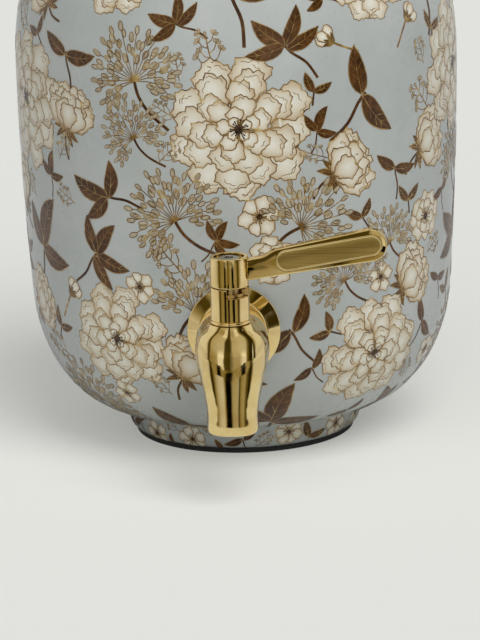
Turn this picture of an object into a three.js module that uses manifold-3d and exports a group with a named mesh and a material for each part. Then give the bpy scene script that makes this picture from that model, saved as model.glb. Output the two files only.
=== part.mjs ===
import * as THREE from 'three';
import { mergeVertices } from 'three/addons/utils/BufferGeometryUtils.js';
import Module from 'manifold-3d';

// Copper water dispenser: a spun copper pot with a printed enamel outside, a lift-off lid
// and a quarter-turn brass tap. Lengths are millimetres, angles are degrees, +Z is up.
// The pot's axis is the Z axis, it stands on z = 0, and the tap points along -Y.
// An outline is a list of [radius, height] pairs that is turned about its own axis.

const wasm = await Module();
wasm.setup();

// Pot
const wallThickness = 1;
const beltRadius = 95;
const beltHeight = 168;
const heelInset = 4.2;
const heelHeight = 62;
const bottomRadius = 50;
const bottomHeight = 13;
const shoulderHeight = 232;
const mouthRadius = 50;
const lipRise = 8;
const lipFillet = 2;
const heelHandleShares = [0.61, 0.47];
const heelLean = 0.08;
const wallHandleShares = [0.12, 0.42];
const shoulderHandleShares = [0.62, 0.6];

// Foot ring and pad under the pot
const footSheet = 1.1;
const footInset = 2.4;
const footBulge = 3.4;
const padEdgeHeight = 2.4;
const padEdgeInset = 0.2;
const padEdgeRounding = 0.6;
const padPlugClearance = 0.3;
const footOutlineShares = [[0, 0], [0.6, 0.12], [1, 0.4], [1.1, 0.65], [1.3, 1]];

// Collar round the mouth
const collarSheet = 1.5;
const collarClearance = 0.3;
const collarRise = 18;
const collarBeadRadius = 2;
const collarFlare = 2.8;
const beadStartAngle = -40;

// Lid
const lidSheet = 1;
const lidSeatGap = 0.3;
const lidSkirtGap = 2;
const lidSkirtDepth = 7;
const lidRimRounding = 2;
const lidDomeInset = 10.8;
const lidDomeRise = 13;
const lidDomeHandleShares = [0.74, 0.35];
const sleeveInset = 2;
const sleeveSheet = 1;
const sleeveDepth = 11.5;
const gasketHeight = 4;
const gasketDrop = 4;
const gasketClearance = 0.3;
const gasketSleeveGap = 0.2;
const knobRadius = 14;
const knobBaseRadius = 8.5;
const knobNeckRadius = 4.6;
const knobRise = 27;
const knobScrewRadius = 2;
const knobScrewLength = 12;
const knobScrewHeadRadius = 4.2;
const knobScrewHeadHeight = 2.4;
const knobScrewSlotWidth = 1.1;
const knobScrewSlotDepth = 1.2;
const knobWasherRadius = 6;
const knobWasherThickness = 0.8;
const knobSeatGap = 0.2;

// Tap: where it sits and what clamps it to the wall
const tapHeight = 66.6;
const tapReach = 31.4;
const shankRadius = 10.48;
const shankHoleClearance = 0.4;
const shankTail = 3.4;
const washerRadius = 17;
const washerLeastThickness = 0.8;
const flangeRadius = 19.4;
const flangeEdgeThickness = 1.6;
const flangeThickness = 5.2;
const flangeConeInnerRadius = 14.2;
const shankWasherRadius = 16;
const shankWasherThickness = 1.5;
const lockNutHalfWidth = 15;
const lockNutThickness = 8;

// Tap body: the barrel, the bulge and the spout
const bulgeRadius = 15.3;
const bulgeReach = 12;
const barrelRise = 12.6;
const spoutDrop = 34.6;
const spoutBoreRadius = 6;
const shankBoreRadius = 5;
const bossRadius = 8.8;
const bossFlare = 1.6;
const bossTopRise = 11.4;
const bossRootDrop = 4;
// Each row: how far back (-) or ahead (+) and how far up (+) or down (-) the outer edge of
// one section lies, the same for its inner edge, and the section's half-width.
const tapSectionShares = [
  [-0.83, 0.97, -0.83, -0.37, 0.86],
  [-0.64, 0.99, -0.67, -0.44, 0.95],
  [-0.38, 0.98, -0.51, -0.49, 1],
  [-0.08, 0.92, -0.41, -0.53, 1],
  [0.66, 0.78, -0.37, -0.57, 0.95],
  [0.86, 0.32, -0.35, -0.6, 0.91],
  [0.91, -0.1, -0.34, -0.64, 0.84],
  [0.94, -0.32, -0.33, -0.7, 0.77],
  [0.965, -0.55, -0.32, -0.77, 0.71],
  [0.985, -0.76, -0.32, -0.85, 0.68],
  [1, -0.92, -0.33, -0.92, 0.7],
  [0.95, -0.98, -0.31, -0.98, 0.68],
  [0.82, -1, -0.26, -1, 0.58],
];

// Valve
const chamberRadius = 6.7;
const chamberDrop = 7;
const rotorClearance = 0.1;
const rotorEndGap = 0.3;
const rotorTopRise = 6;
const rotorPortRadius = 3.2;
const rotorBoreRadius = 4.2;
const rotorBoreRise = 2.4;
const tangWidth = 2.7;
const tangLengthShare = 0.84;
const tangClearance = 0.15;
const tangDepth = 1.8;
const seatRadius = 5.1;
const seatBoreRadius = 3.5;
const seatDepth = 2.1;
const seatClearance = 0.15;
const seatRotorGap = 0.3;

// Bonnet, its gasket and its stop notch
const bonnetRadius = 7.95;
const bonnetBeadRadius = 8.3;
const bonnetBeadHeight = 1.5;
const bonnetBeadGroove = 0.3;
const bonnetSeatGap = 0.1;
const bonnetTopRise = 26.8;
const spigotRadius = 7.4;
const spigotClearance = 0.2;
const spigotDepth = 5.3;
const gasketRingThickness = 0.6;
const gasketRingWidth = 0.65;
const bonnetTopRecessRadius = 6.2;
const bonnetTopRecessDepth = 4.4;
const notchDepth = 3.8;
const lugHalfAngle = 8;
const lugSlackAngle = 1;
const leverSwingAngle = 90;

// Spindle with its rings
const spindleRadius = 4;
const spindleClearance = 0.2;
const spindleFlangeRadius = 6.2;
const spindleFlangeThickness = 1.5;
const spindleFlangeGap = 0.8;
const bonnetCounterboreGap = 0.3;
const thrustWasherThickness = 0.4;
const oringSectionRadius = 0.7;
const oringGrooveHeight = 1.8;
const lowerOringRise = 13.4;
const upperOringRise = 18;
const squareHalfWidth = 2.8;
const squareClearance = 0.15;
const squareHeight = 6;
const tappedHoleRadius = 2.15;
const stopWasherThickness = 1.6;
const stopWasherWidth = 1.7;
const stopWasherGap = 0.2;
const lugHeight = 2.3;
const lugInset = 0.3;

// Lever
const hubRadius = 7.9;
const hubHeight = 12.4;
const hubGap = 0.3;
const hubEdge = 0.5;
const hubRecessRadius = 6.1;
const hubRecessDepth = 2.8;
const hubWebThickness = 2;
const leverRiseAngle = 9.5;
const leverLength = 65.3;
const leverTipHalfWidth = 6.7;
const leverRootHalfWidth = 5.4;
const leverThickness = 5;
const leverEdge = 0.8;
const leverAxisRise = 6.55;
const leverNeckTop = 3.3;
const neckStartShare = 1.5;
const neckEndShare = 2.6;
const neckHandleShare = 0.9;
const inlayRecessDepth = 0.7;
const inlayThickness = 0.5;
const inlayHalfWidth = 4.7;
const inlayStart = 19.3;
const inlayTipMargin = 1.7;
const inlayClearance = 0.15;
const screwRadius = 2;
const screwLength = 11;
const screwHeadRadius = 4.3;
const screwHeadHeight = 1.5;
const screwSocketRadius = 2.15;
const screwSocketDepth = 1.2;
const screwWasherRadius = 5.7;
const screwWasherThickness = 0.7;

// Fits and round shapes
const seatGap = 0.2;
const wallGap = 0.3;
const cutOverrun = 2;
const potSteps = 40;
const roundSteps = 20;
const smallSteps = 16;
const heelSteps = 8;
const wallSteps = 4;
const shoulderSteps = 8;
const domeSteps = 6;
const arcSteps = 6;
const filletSteps = 3;
const armRoundSteps = 8;
const edgeSteps = 2;
const hexSides = 6;

const degrees = Math.PI / 180;
const quarterTurn = Math.PI / 2;
const fullTurn = Math.PI * 2;

// Shape helpers

function turned(outline, steps) {
  const points = outline.map(([radius, height]) => new THREE.Vector2(radius, height));
  if (THREE.ShapeUtils.area(points) < 0) {
    points.reverse();
  }
  if (points[0].x > 0) {
    points.push(points[0].clone());
  }
  const geometry = new THREE.LatheGeometry(points, steps);
  geometry.rotateX(quarterTurn);
  return geometry;
}

function column(radius, low, high, steps) {
  return turned([[0, low], [radius, low], [radius, high], [0, high]], steps);
}

function ring(innerRadius, outerRadius, low, high, steps) {
  const outline = [[innerRadius, low], [outerRadius, low], [outerRadius, high], [innerRadius, high]];
  return turned(outline, steps);
}

function block(width, depth, low, high) {
  const geometry = new THREE.BoxGeometry(width, depth, high - low);
  geometry.translate(0, 0, (low + high) / 2);
  return geometry;
}

function arcOutline(centreRadius, centreHeight, radius, from, to, steps) {
  const points = [];
  for (let i = 0; i <= steps; i += 1) {
    const angle = (from + ((to - from) * i) / steps) * degrees;
    points.push([centreRadius + radius * Math.cos(angle), centreHeight + radius * Math.sin(angle)]);
  }
  return points;
}

function curveOutline(start, startHandle, endHandle, end, steps) {
  const [a, b, c, d] = [start, startHandle, endHandle, end].map(([r, z]) => new THREE.Vector2(r, z));
  const curve = new THREE.CubicBezierCurve(a, b, c, d);
  return curve.getPoints(steps).map((point) => [point.x, point.y]);
}

function offsetOutline(outline, distance) {
  return outline.map((point, i) => {
    const before = outline[Math.max(i - 1, 0)];
    const after = outline[Math.min(i + 1, outline.length - 1)];
    const along = new THREE.Vector2(after[0] - before[0], after[1] - before[1]).normalize();
    return [Math.max(point[0] + along.y * distance, 0), point[1] - along.x * distance];
  });
}

function radiusAt(outline, height) {
  for (let i = 1; i < outline.length; i += 1) {
    const [lowRadius, low] = outline[i - 1];
    const [highRadius, high] = outline[i];
    if (low <= height && height <= high && high > low) {
      return lowRadius + ((highRadius - lowRadius) * (height - low)) / (high - low);
    }
  }
  return outline[outline.length - 1][0];
}

// A closed skin through equal rings of points, with a flat cap at each end.
function lofted(rings) {
  const count = rings[0].length;
  const positions = [];
  const indices = [];
  for (const points of rings) {
    for (const point of points) {
      positions.push(point.x, point.y, point.z);
    }
  }
  for (let i = 0; i + 1 < rings.length; i += 1) {
    for (let j = 0; j < count; j += 1) {
      const a = i * count + j;
      const b = i * count + ((j + 1) % count);
      indices.push(a, a + count, b, b, a + count, b + count);
    }
  }
  const last = (rings.length - 1) * count;
  for (let j = 1; j + 1 < count; j += 1) {
    indices.push(0, j, j + 1);
    indices.push(last, last + j + 1, last + j);
  }
  const geometry = new THREE.BufferGeometry();
  geometry.setAttribute('position', new THREE.Float32BufferAttribute(positions, 3));
  geometry.setIndex(indices);
  return geometry;
}

function solidOf(geometry) {
  const bare = geometry.clone();
  bare.deleteAttribute('normal');
  bare.deleteAttribute('uv');
  const merged = mergeVertices(bare);
  const corners = merged.index.array;
  const kept = [];
  for (let i = 0; i < corners.length; i += 3) {
    const [a, b, c] = [corners[i], corners[i + 1], corners[i + 2]];
    if (a !== b && b !== c && c !== a) {
      kept.push(a, b, c);
    }
  }
  const vertProperties = merged.attributes.position.array;
  const triVerts = new Uint32Array(kept);
  return new wasm.Manifold(new wasm.Mesh({ numProp: 3, vertProperties, triVerts }));
}

function geometryOf(solid) {
  const mesh = solid.getMesh();
  const geometry = new THREE.BufferGeometry();
  geometry.setAttribute('position', new THREE.BufferAttribute(mesh.vertProperties, 3));
  geometry.setIndex(new THREE.BufferAttribute(mesh.triVerts, 1));
  geometry.computeVertexNormals();
  return geometry;
}

function joined(geometries) {
  return geometries.map(solidOf).reduce((whole, part) => whole.add(part));
}

function cutFrom(solid, geometries) {
  return geometries.map(solidOf).reduce((left, part) => left.subtract(part), solid);
}

function forward(geometry) {
  geometry.rotateX(quarterTurn);
  return geometry;
}

function addPiece(group, name, geometry, color, roughness, metalness) {
  const material = new THREE.MeshStandardMaterial({ color, roughness, metalness });
  const mesh = new THREE.Mesh(geometry, material);
  mesh.name = name;
  group.add(mesh);
}

const enamelColor = '#a6aaa8';
const copperColor = '#b8704a';
const brassColor = '#c9a24a';
const brushedBrassColor = '#8f7231';
const steelColor = '#b9b8b2';
const rubberColor = '#1b1a19';
const sealColor = '#3a3836';
const siliconeColor = '#d9d7cf';

// Pot body: one spun sheet with a rounded heel, a nearly straight wall, a shoulder and a lip

const heelRadius = beltRadius - heelInset;
const heelOutline = curveOutline(
  [bottomRadius, bottomHeight],
  [bottomRadius + (heelRadius - bottomRadius) * heelHandleShares[0], bottomHeight],
  [
    heelRadius - (heelHeight - bottomHeight) * heelHandleShares[1] * heelLean,
    heelHeight - (heelHeight - bottomHeight) * heelHandleShares[1],
  ],
  [heelRadius, heelHeight],
  heelSteps,
);
const wallOutline = curveOutline(
  [heelRadius, heelHeight],
  [
    heelRadius + (beltHeight - heelHeight) * wallHandleShares[0] * heelLean,
    heelHeight + (beltHeight - heelHeight) * wallHandleShares[0],
  ],
  [beltRadius, beltHeight - (beltHeight - heelHeight) * wallHandleShares[1]],
  [beltRadius, beltHeight],
  wallSteps,
);
const shoulderEndRadius = mouthRadius + lipFillet;
const shoulderOutline = curveOutline(
  [beltRadius, beltHeight],
  [beltRadius, beltHeight + (shoulderHeight - beltHeight) * shoulderHandleShares[0]],
  [shoulderEndRadius + (beltRadius - shoulderEndRadius) * shoulderHandleShares[1], shoulderHeight],
  [shoulderEndRadius, shoulderHeight],
  shoulderSteps,
);
const lipHeight = shoulderHeight + lipRise;
const lipOutline = [
  ...arcOutline(shoulderEndRadius, shoulderHeight + lipFillet, lipFillet, 270, 180, filletSteps),
  [mouthRadius, lipHeight],
];
const potOutline = [
  [0, bottomHeight],
  ...heelOutline,
  ...wallOutline.slice(1),
  ...shoulderOutline.slice(1),
  ...lipOutline.slice(1),
];
const potInnerOutline = offsetOutline(potOutline, -wallThickness);

function potForm(distance) {
  const outline = offsetOutline(potOutline, distance);
  return turned([...outline, [0, outline[outline.length - 1][1]]], potSteps);
}

const tapHoleRadius = shankRadius + shankHoleClearance;
const washerHeights = [tapHeight - washerRadius, tapHeight, tapHeight + washerRadius];
const wallAtWasher = Math.max(...washerHeights.map((height) => radiusAt(potOutline, height)));
const flangeBack = wallAtWasher + wallGap + washerLeastThickness;
const axisForward = flangeBack + tapReach;

const dispenser = new THREE.Group();

const tapHole = forward(column(tapHoleRadius, 0, flangeBack, roundSteps));
tapHole.translate(0, 0, tapHeight);
const potShell = turned([...potOutline, ...potInnerOutline.slice().reverse()], potSteps);
addPiece(dispenser, 'pot_body', geometryOf(cutFrom(solidOf(potShell), [tapHole])), enamelColor, 0.25, 0);

// Foot ring: a rolled copper band that carries the pot

const footRadius = bottomRadius - footInset;
const footTopHeight = bottomHeight - wallGap;
const footOutline = footOutlineShares.map(([bulgeShare, riseShare]) => [
  footRadius + footBulge * bulgeShare,
  padEdgeHeight + (footTopHeight - padEdgeHeight) * riseShare,
]);
const footInnerOutline = footOutline.map(([radius, height]) => [radius - footSheet, height]);
const footBand = turned([...footOutline, ...footInnerOutline.slice().reverse()], potSteps);
addPiece(dispenser, 'foot_ring', footBand, enamelColor, 0.3, 0);

// Base pad: black rubber, with a plug that fills the foot and a thin edge that shows below it

const padRadius = footRadius - padEdgeInset;
const padPlugRadius = footRadius - footSheet - padPlugClearance;
const padOutline = [
  [0, 0],
  [padRadius - padEdgeRounding, 0],
  [padRadius, padEdgeRounding],
  [padRadius, padEdgeHeight],
  [padPlugRadius, padEdgeHeight],
  [padPlugRadius, footTopHeight],
  [0, footTopHeight],
];
addPiece(dispenser, 'base_pad', turned(padOutline, potSteps), rubberColor, 0.8, 0);

// Neck collar: copper ring with a rolled bead, soldered over the pot's lip

const collarTopHeight = shoulderHeight + collarRise;
const collarInnerRadius = mouthRadius + collarClearance;
const collarOuterRadius = collarInnerRadius + collarSheet;
const collarBeadMiddle = collarInnerRadius + collarBeadRadius;
const collarBeadHeight = collarTopHeight - collarBeadRadius;
const collarFlareRadius = collarOuterRadius + collarFlare;
const collarFlareHeight = shoulderHeight + collarFlare;
const collarOutline = [
  [collarInnerRadius, shoulderHeight - cutOverrun],
  [collarFlareRadius, shoulderHeight - cutOverrun],
  [collarFlareRadius, shoulderHeight],
  ...arcOutline(collarFlareRadius, collarFlareHeight, collarFlare, 270, 180, filletSteps).slice(1),
  ...arcOutline(collarBeadMiddle, collarBeadHeight, collarBeadRadius, beadStartAngle, 180, arcSteps),
];
const collarBand = cutFrom(solidOf(turned(collarOutline, potSteps)), [potForm(wallGap)]);
addPiece(dispenser, 'neck_collar', geometryOf(collarBand), copperColor, 0.3, 1);

// Lid: domed shell, sleeve with its gasket, and a knob held by a screw from inside

const lid = new THREE.Group();
lid.position.z = collarTopHeight + lidSeatGap;
dispenser.add(lid);

const lidRadius = collarInnerRadius + collarBeadRadius * 2 + lidSkirtGap + lidSheet;
const lidDomeRadius = lidRadius - lidDomeInset;
const sleeveRadius = mouthRadius - sleeveInset;

const lidDomeOutline = curveOutline(
  [lidDomeRadius, lidSheet],
  [lidDomeRadius * lidDomeHandleShares[0], lidDomeRise + lidSheet],
  [lidDomeRadius * lidDomeHandleShares[1], lidDomeRise + lidSheet],
  [0, lidDomeRise + lidSheet],
  domeSteps,
);
const lidInnerDomeOutline = curveOutline(
  [lidDomeRadius - lidSheet, 0],
  [(lidDomeRadius - lidSheet) * lidDomeHandleShares[0], lidDomeRise],
  [(lidDomeRadius - lidSheet) * lidDomeHandleShares[1], lidDomeRise],
  [0, lidDomeRise],
  domeSteps,
);
const lidTurnRadius = lidRadius - lidRimRounding;
const lidTurnHeight = lidSheet - lidRimRounding;
const lidInnerRounding = lidRimRounding - lidSheet;
const lidOutline = [
  ...lidInnerDomeOutline.slice().reverse(),
  ...arcOutline(lidTurnRadius, lidTurnHeight, lidInnerRounding, 90, 0, filletSteps),
  [lidTurnRadius + lidInnerRounding, -lidSkirtDepth],
  [lidRadius, -lidSkirtDepth],
  ...arcOutline(lidTurnRadius, lidTurnHeight, lidRimRounding, 0, 90, filletSteps),
  ...lidDomeOutline,
];
const knobHole = column(knobScrewRadius + wallGap, 0, lidDomeRise + cutOverrun, smallSteps);
const lidShell = cutFrom(solidOf(turned(lidOutline, potSteps)), [knobHole]);
addPiece(lid, 'lid_shell', geometryOf(lidShell), enamelColor, 0.3, 0);

const sleeveBand = ring(sleeveRadius - sleeveSheet, sleeveRadius, -sleeveDepth, 0, potSteps);
addPiece(lid, 'lid_sleeve', sleeveBand, copperColor, 0.35, 1);

const gasketRadius = collarInnerRadius - gasketClearance;
const gasketInnerRadius = sleeveRadius + gasketSleeveGap;
const gasketBand = ring(gasketInnerRadius, gasketRadius, -gasketDrop - gasketHeight, -gasketDrop, potSteps);
addPiece(lid, 'lid_gasket', gasketBand, siliconeColor, 0.6, 0);

const knobBaseHeight = lidDomeRise + lidSheet + knobSeatGap;
const knobTopHeight = knobBaseHeight + knobRise;
const washerTopHeight = lidDomeRise - knobSeatGap;
const washerBottomHeight = washerTopHeight - knobWasherThickness;
const knobScrewTopHeight = washerBottomHeight + knobScrewLength;
const knobHoleTopHeight = knobScrewTopHeight + knobSeatGap;
const knobProfileShares = [[0.46, 0.14], [0, 0.25], [0.1, 0.34], [0.55, 0.46], [0.9, 0.6], [1, 0.72]];
const knobCrownShares = [[0.93, 0.84], [0.72, 0.94], [0.4, 0.99]];
const knobOutline = [
  [0, knobHoleTopHeight],
  [knobScrewRadius + knobSeatGap, knobHoleTopHeight],
  [knobScrewRadius + knobSeatGap, knobBaseHeight],
  [knobBaseRadius, knobBaseHeight],
  [knobBaseRadius, knobBaseHeight + lidRimRounding],
  ...knobProfileShares.map(([widthShare, riseShare], i) => [
    knobNeckRadius + ((i > 0 ? knobRadius : knobBaseRadius) - knobNeckRadius) * widthShare,
    knobBaseHeight + knobRise * riseShare,
  ]),
  ...knobCrownShares.map(([widthShare, riseShare]) => [
    knobRadius * widthShare,
    knobBaseHeight + knobRise * riseShare,
  ]),
  [0, knobTopHeight],
];
addPiece(lid, 'lid_knob', turned(knobOutline, roundSteps), brassColor, 0.15, 1);

const knobWasher = ring(
  knobScrewRadius + knobSeatGap,
  knobWasherRadius,
  washerBottomHeight,
  washerTopHeight,
  smallSteps,
);
addPiece(lid, 'knob_washer', knobWasher, steelColor, 0.4, 1);

const knobScrewHeadBottom = washerBottomHeight - knobScrewHeadHeight;
const knobScrewOutline = [
  [0, knobScrewHeadBottom],
  [knobScrewHeadRadius, knobScrewHeadBottom],
  [knobScrewHeadRadius, washerBottomHeight],
  [knobScrewRadius, washerBottomHeight],
  [knobScrewRadius, knobScrewTopHeight],
  [0, knobScrewTopHeight],
];
const knobScrewSlot = block(
  knobScrewHeadRadius * 2 + cutOverrun,
  knobScrewSlotWidth,
  knobScrewHeadBottom - cutOverrun,
  knobScrewHeadBottom + knobScrewSlotDepth,
);
const knobScrew = cutFrom(solidOf(turned(knobScrewOutline, smallSteps)), [knobScrewSlot]);
addPiece(lid, 'knob_screw', geometryOf(knobScrew), steelColor, 0.35, 1);

// Tap: its group stands where the spindle's axis crosses the shank's axis.
// Pieces on the shank's line are turned so that their own +Z points forward.

const tap = new THREE.Group();
tap.position.set(0, -axisForward, tapHeight);
dispenser.add(tap);

const shankLine = new THREE.Group();
shankLine.rotation.x = quarterTurn;
tap.add(shankLine);

function potFormOnShankLine(distance) {
  const form = potForm(distance);
  form.translate(0, axisForward, -tapHeight);
  form.rotateX(-quarterTurn);
  return form;
}

const flangeBackPlace = -tapReach;
const flangeOutline = [
  [tapHoleRadius, flangeBackPlace],
  [flangeRadius, flangeBackPlace],
  [flangeRadius, flangeBackPlace + flangeEdgeThickness],
  [flangeConeInnerRadius, flangeBackPlace + flangeThickness],
  [tapHoleRadius, flangeBackPlace + flangeThickness],
];
addPiece(shankLine, 'tap_flange', turned(flangeOutline, potSteps), brassColor, 0.12, 1);

// Rubber washers: the outer one follows the pot's outside, the inner one its inside

const outerWasherFront = flangeBackPlace - seatGap / 2;
const outerWasherBlank = ring(tapHoleRadius, washerRadius, -axisForward, outerWasherFront, roundSteps);
const outerWasher = cutFrom(solidOf(outerWasherBlank), [potFormOnShankLine(wallGap)]);
addPiece(shankLine, 'outer_washer', geometryOf(outerWasher), rubberColor, 0.8, 0);

const innerWallLow = radiusAt(potInnerOutline, tapHeight - washerRadius);
const innerWallMiddle = radiusAt(potInnerOutline, tapHeight);
const innerWallSide = Math.sqrt(innerWallMiddle ** 2 - washerRadius ** 2);
const innerWasherForward = Math.min(innerWallLow, innerWallSide) - wallGap - washerLeastThickness;
const innerWasherBack = innerWasherForward - axisForward;
const innerWasherBlank = ring(tapHoleRadius, washerRadius, innerWasherBack, 0, roundSteps);
const innerWasher = solidOf(innerWasherBlank).intersect(
  solidOf(potFormOnShankLine(-wallThickness - wallGap)),
);
addPiece(shankLine, 'inner_washer', geometryOf(innerWasher), rubberColor, 0.8, 0);

const shankWasherFront = innerWasherBack - seatGap;
const shankWasherBack = shankWasherFront - shankWasherThickness;
const shankWasher = ring(tapHoleRadius, shankWasherRadius, shankWasherBack, shankWasherFront, roundSteps);
addPiece(shankLine, 'shank_washer', shankWasher, brassColor, 0.3, 1);

const lockNutFront = shankWasherBack - seatGap;
const lockNutBack = lockNutFront - lockNutThickness;
const lockNutShape = new THREE.Shape();
for (let i = 0; i < hexSides; i += 1) {
  const angle = (i * fullTurn) / hexSides;
  const cornerRadius = lockNutHalfWidth / Math.cos(fullTurn / hexSides / 2);
  const corner = [cornerRadius * Math.cos(angle), cornerRadius * Math.sin(angle)];
  lockNutShape[i === 0 ? 'moveTo' : 'lineTo'](...corner);
}
lockNutShape.closePath();
const lockNutHole = new THREE.Path();
lockNutHole.absarc(0, 0, shankRadius + seatGap, 0, fullTurn, true);
lockNutShape.holes.push(lockNutHole);
const lockNut = new THREE.ExtrudeGeometry(lockNutShape, {
  depth: lockNutThickness,
  bevelEnabled: false,
  curveSegments: roundSteps / 2,
});
lockNut.translate(0, 0, lockNutBack);
addPiece(shankLine, 'lock_nut', lockNut, brassColor, 0.3, 1);

// Tap body: one casting with the shank, the bulging elbow, the boss for the bonnet and the spout

function alongTap(share) {
  return share < 0 ? tapReach * share : bulgeReach * share;
}

function aboveTap(share) {
  return share < 0 ? spoutDrop * share : barrelRise * share;
}

const tapSections = tapSectionShares.map(([outerAhead, outerUp, innerAhead, innerUp, widthShare]) => {
  const outer = new THREE.Vector3(0, -alongTap(outerAhead), aboveTap(outerUp));
  const inner = new THREE.Vector3(0, -alongTap(innerAhead), aboveTap(innerUp));
  const centre = outer.clone().add(inner).multiplyScalar(0.5);
  const half = outer.clone().sub(inner).multiplyScalar(0.5);
  const points = [];
  for (let j = 0; j < roundSteps; j += 1) {
    const angle = (j * fullTurn) / roundSteps;
    const point = centre.clone().addScaledVector(half, Math.cos(angle));
    point.x += bulgeRadius * widthShare * Math.sin(angle);
    points.push(point);
  }
  return points;
});
const bossOutline = [
  [0, -bossRootDrop],
  [bossRadius + bossFlare, -bossRootDrop],
  [bossRadius + bossFlare, bossTopRise - bossFlare * 2],
  ...arcOutline(bossRadius + bossFlare, bossTopRise - bossFlare, bossFlare, 270, 180, filletSteps),
  [bossRadius, bossTopRise],
  [0, bossTopRise],
];
const shankFront = flangeBackPlace + flangeThickness + seatGap;
const shankBack = lockNutBack - shankTail;
const shankRod = forward(column(shankRadius, shankBack, shankFront + cutOverrun, roundSteps));
const tapBodyBlank = joined([lofted(tapSections), turned(bossOutline, roundSteps), shankRod]);

const spigotBoreRadius = spigotRadius + spigotClearance;
const bonnetSeatRise = bossTopRise + bonnetSeatGap;
const spigotBottomRise = bonnetSeatRise - spigotDepth;
const ledgeRise = spigotBottomRise - gasketRingThickness - bonnetSeatGap;
const seatPocketBack = -(chamberRadius + seatDepth + seatRotorGap);
const tapBody = cutFrom(tapBodyBlank, [
  column(bonnetBeadRadius + wallGap, bossTopRise, bonnetTopRise, roundSteps),
  column(chamberRadius, -chamberDrop, bossTopRise + cutOverrun, roundSteps),
  column(spigotBoreRadius, ledgeRise, bossTopRise + cutOverrun, roundSteps),
  column(spoutBoreRadius, -spoutDrop - cutOverrun, -chamberDrop + cutOverrun, roundSteps),
  forward(column(shankBoreRadius, shankBack - cutOverrun, 0, roundSteps)),
  forward(column(seatRadius + seatClearance, seatPocketBack, 0, roundSteps)),
]);
addPiece(tap, 'tap_body', geometryOf(tapBody), brassColor, 0.1, 1);

// Port seat: the ring between the inlet and the rotor, hollowed to the rotor's round

const rotorRadius = chamberRadius - rotorClearance;
const portSeatBack = seatPocketBack + seatGap;
const portSeatBlank = forward(ring(seatBoreRadius, seatRadius, portSeatBack, -seatBoreRadius, roundSteps));
const rotorSpace = column(rotorRadius + seatRotorGap, -chamberDrop, chamberDrop, roundSteps);
const portSeat = cutFrom(solidOf(portSeatBlank), [rotorSpace]);
addPiece(tap, 'port_seat', geometryOf(portSeat), siliconeColor, 0.5, 0);

// Bonnet: collar that screws into the boss, with a bead below and the stop notch in its rim

const spindleBoreRadius = spindleRadius + spindleClearance;
const spindleFlangeBottomRise = spigotBottomRise + spindleFlangeGap;
const spindleFlangeTopRise = spindleFlangeBottomRise + spindleFlangeThickness;
const bonnetLedgeRise = spindleFlangeTopRise + thrustWasherThickness + seatGap;
const bonnetRecessRise = bonnetTopRise - bonnetTopRecessDepth;
const bonnetBeadTopRise = bonnetSeatRise + bonnetBeadHeight;
const bonnetOutline = [
  [spindleFlangeRadius + bonnetCounterboreGap, spigotBottomRise],
  [spindleFlangeRadius + bonnetCounterboreGap, bonnetLedgeRise],
  [spindleBoreRadius, bonnetLedgeRise],
  [spindleBoreRadius, bonnetRecessRise],
  [bonnetTopRecessRadius, bonnetRecessRise],
  [bonnetTopRecessRadius, bonnetTopRise],
  [bonnetRadius - bonnetBeadGroove, bonnetTopRise],
  [bonnetRadius, bonnetTopRise - bonnetBeadGroove],
  [bonnetRadius, bonnetBeadTopRise + bonnetBeadGroove],
  [bonnetRadius - bonnetBeadGroove, bonnetBeadTopRise],
  [bonnetBeadRadius, bonnetBeadTopRise - bonnetBeadGroove],
  [bonnetBeadRadius, bonnetSeatRise + bonnetBeadGroove],
  [bonnetBeadRadius - bonnetBeadGroove, bonnetSeatRise],
  [spigotRadius, bonnetSeatRise],
  [spigotRadius, spigotBottomRise],
];

function sector(innerRadius, outerRadius, from, to, low, high) {
  const shape = new THREE.Shape();
  shape.absarc(0, 0, outerRadius, from * degrees, to * degrees, false);
  shape.absarc(0, 0, innerRadius, to * degrees, from * degrees, true);
  shape.closePath();
  const geometry = new THREE.ExtrudeGeometry(shape, {
    depth: high - low,
    bevelEnabled: false,
    curveSegments: arcSteps,
  });
  geometry.translate(0, 0, low);
  return geometry;
}

const notchMargin = lugHalfAngle + lugSlackAngle;
const stopNotch = sector(
  spindleRadius,
  bonnetRadius + cutOverrun,
  -leverSwingAngle - notchMargin,
  notchMargin,
  bonnetTopRise - notchDepth,
  bonnetTopRise + cutOverrun,
);
const bonnet = cutFrom(solidOf(turned(bonnetOutline, roundSteps)), [stopNotch]);
addPiece(tap, 'bonnet', geometryOf(bonnet), brassColor, 0.12, 1);

const bonnetGasket = ring(
  spigotBoreRadius - seatGap / 2 - gasketRingWidth,
  spigotBoreRadius - seatGap / 2,
  ledgeRise,
  ledgeRise + gasketRingThickness,
  roundSteps,
);
addPiece(tap, 'bonnet_gasket', bonnetGasket, sealColor, 0.7, 0);

// Valve rotor: closed at rest, its side port turns to face the inlet when the lever opens it

const rotorSlotFloor = rotorTopRise - tangDepth - seatGap;
const rotorPort = column(rotorPortRadius, 0, chamberRadius + cutOverrun, smallSteps);
rotorPort.rotateY(-quarterTurn);
const tangLength = rotorRadius * 2 * tangLengthShare;
const rotorSlotWidth = tangWidth + tangClearance * 2;
const rotorBlank = column(rotorRadius, -chamberDrop + rotorEndGap, rotorTopRise, roundSteps);
const rotor = cutFrom(solidOf(rotorBlank), [
  rotorPort,
  column(rotorBoreRadius, -chamberDrop - cutOverrun, rotorBoreRise, smallSteps),
  block(rotorSlotWidth, rotorRadius * 2 + cutOverrun, rotorSlotFloor, rotorTopRise + cutOverrun),
]);
addPiece(tap, 'valve_rotor', geometryOf(rotor), brassColor, 0.3, 1);

// Spindle: flange and tang below, two ring grooves, a square head with a tapped hole above

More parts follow.
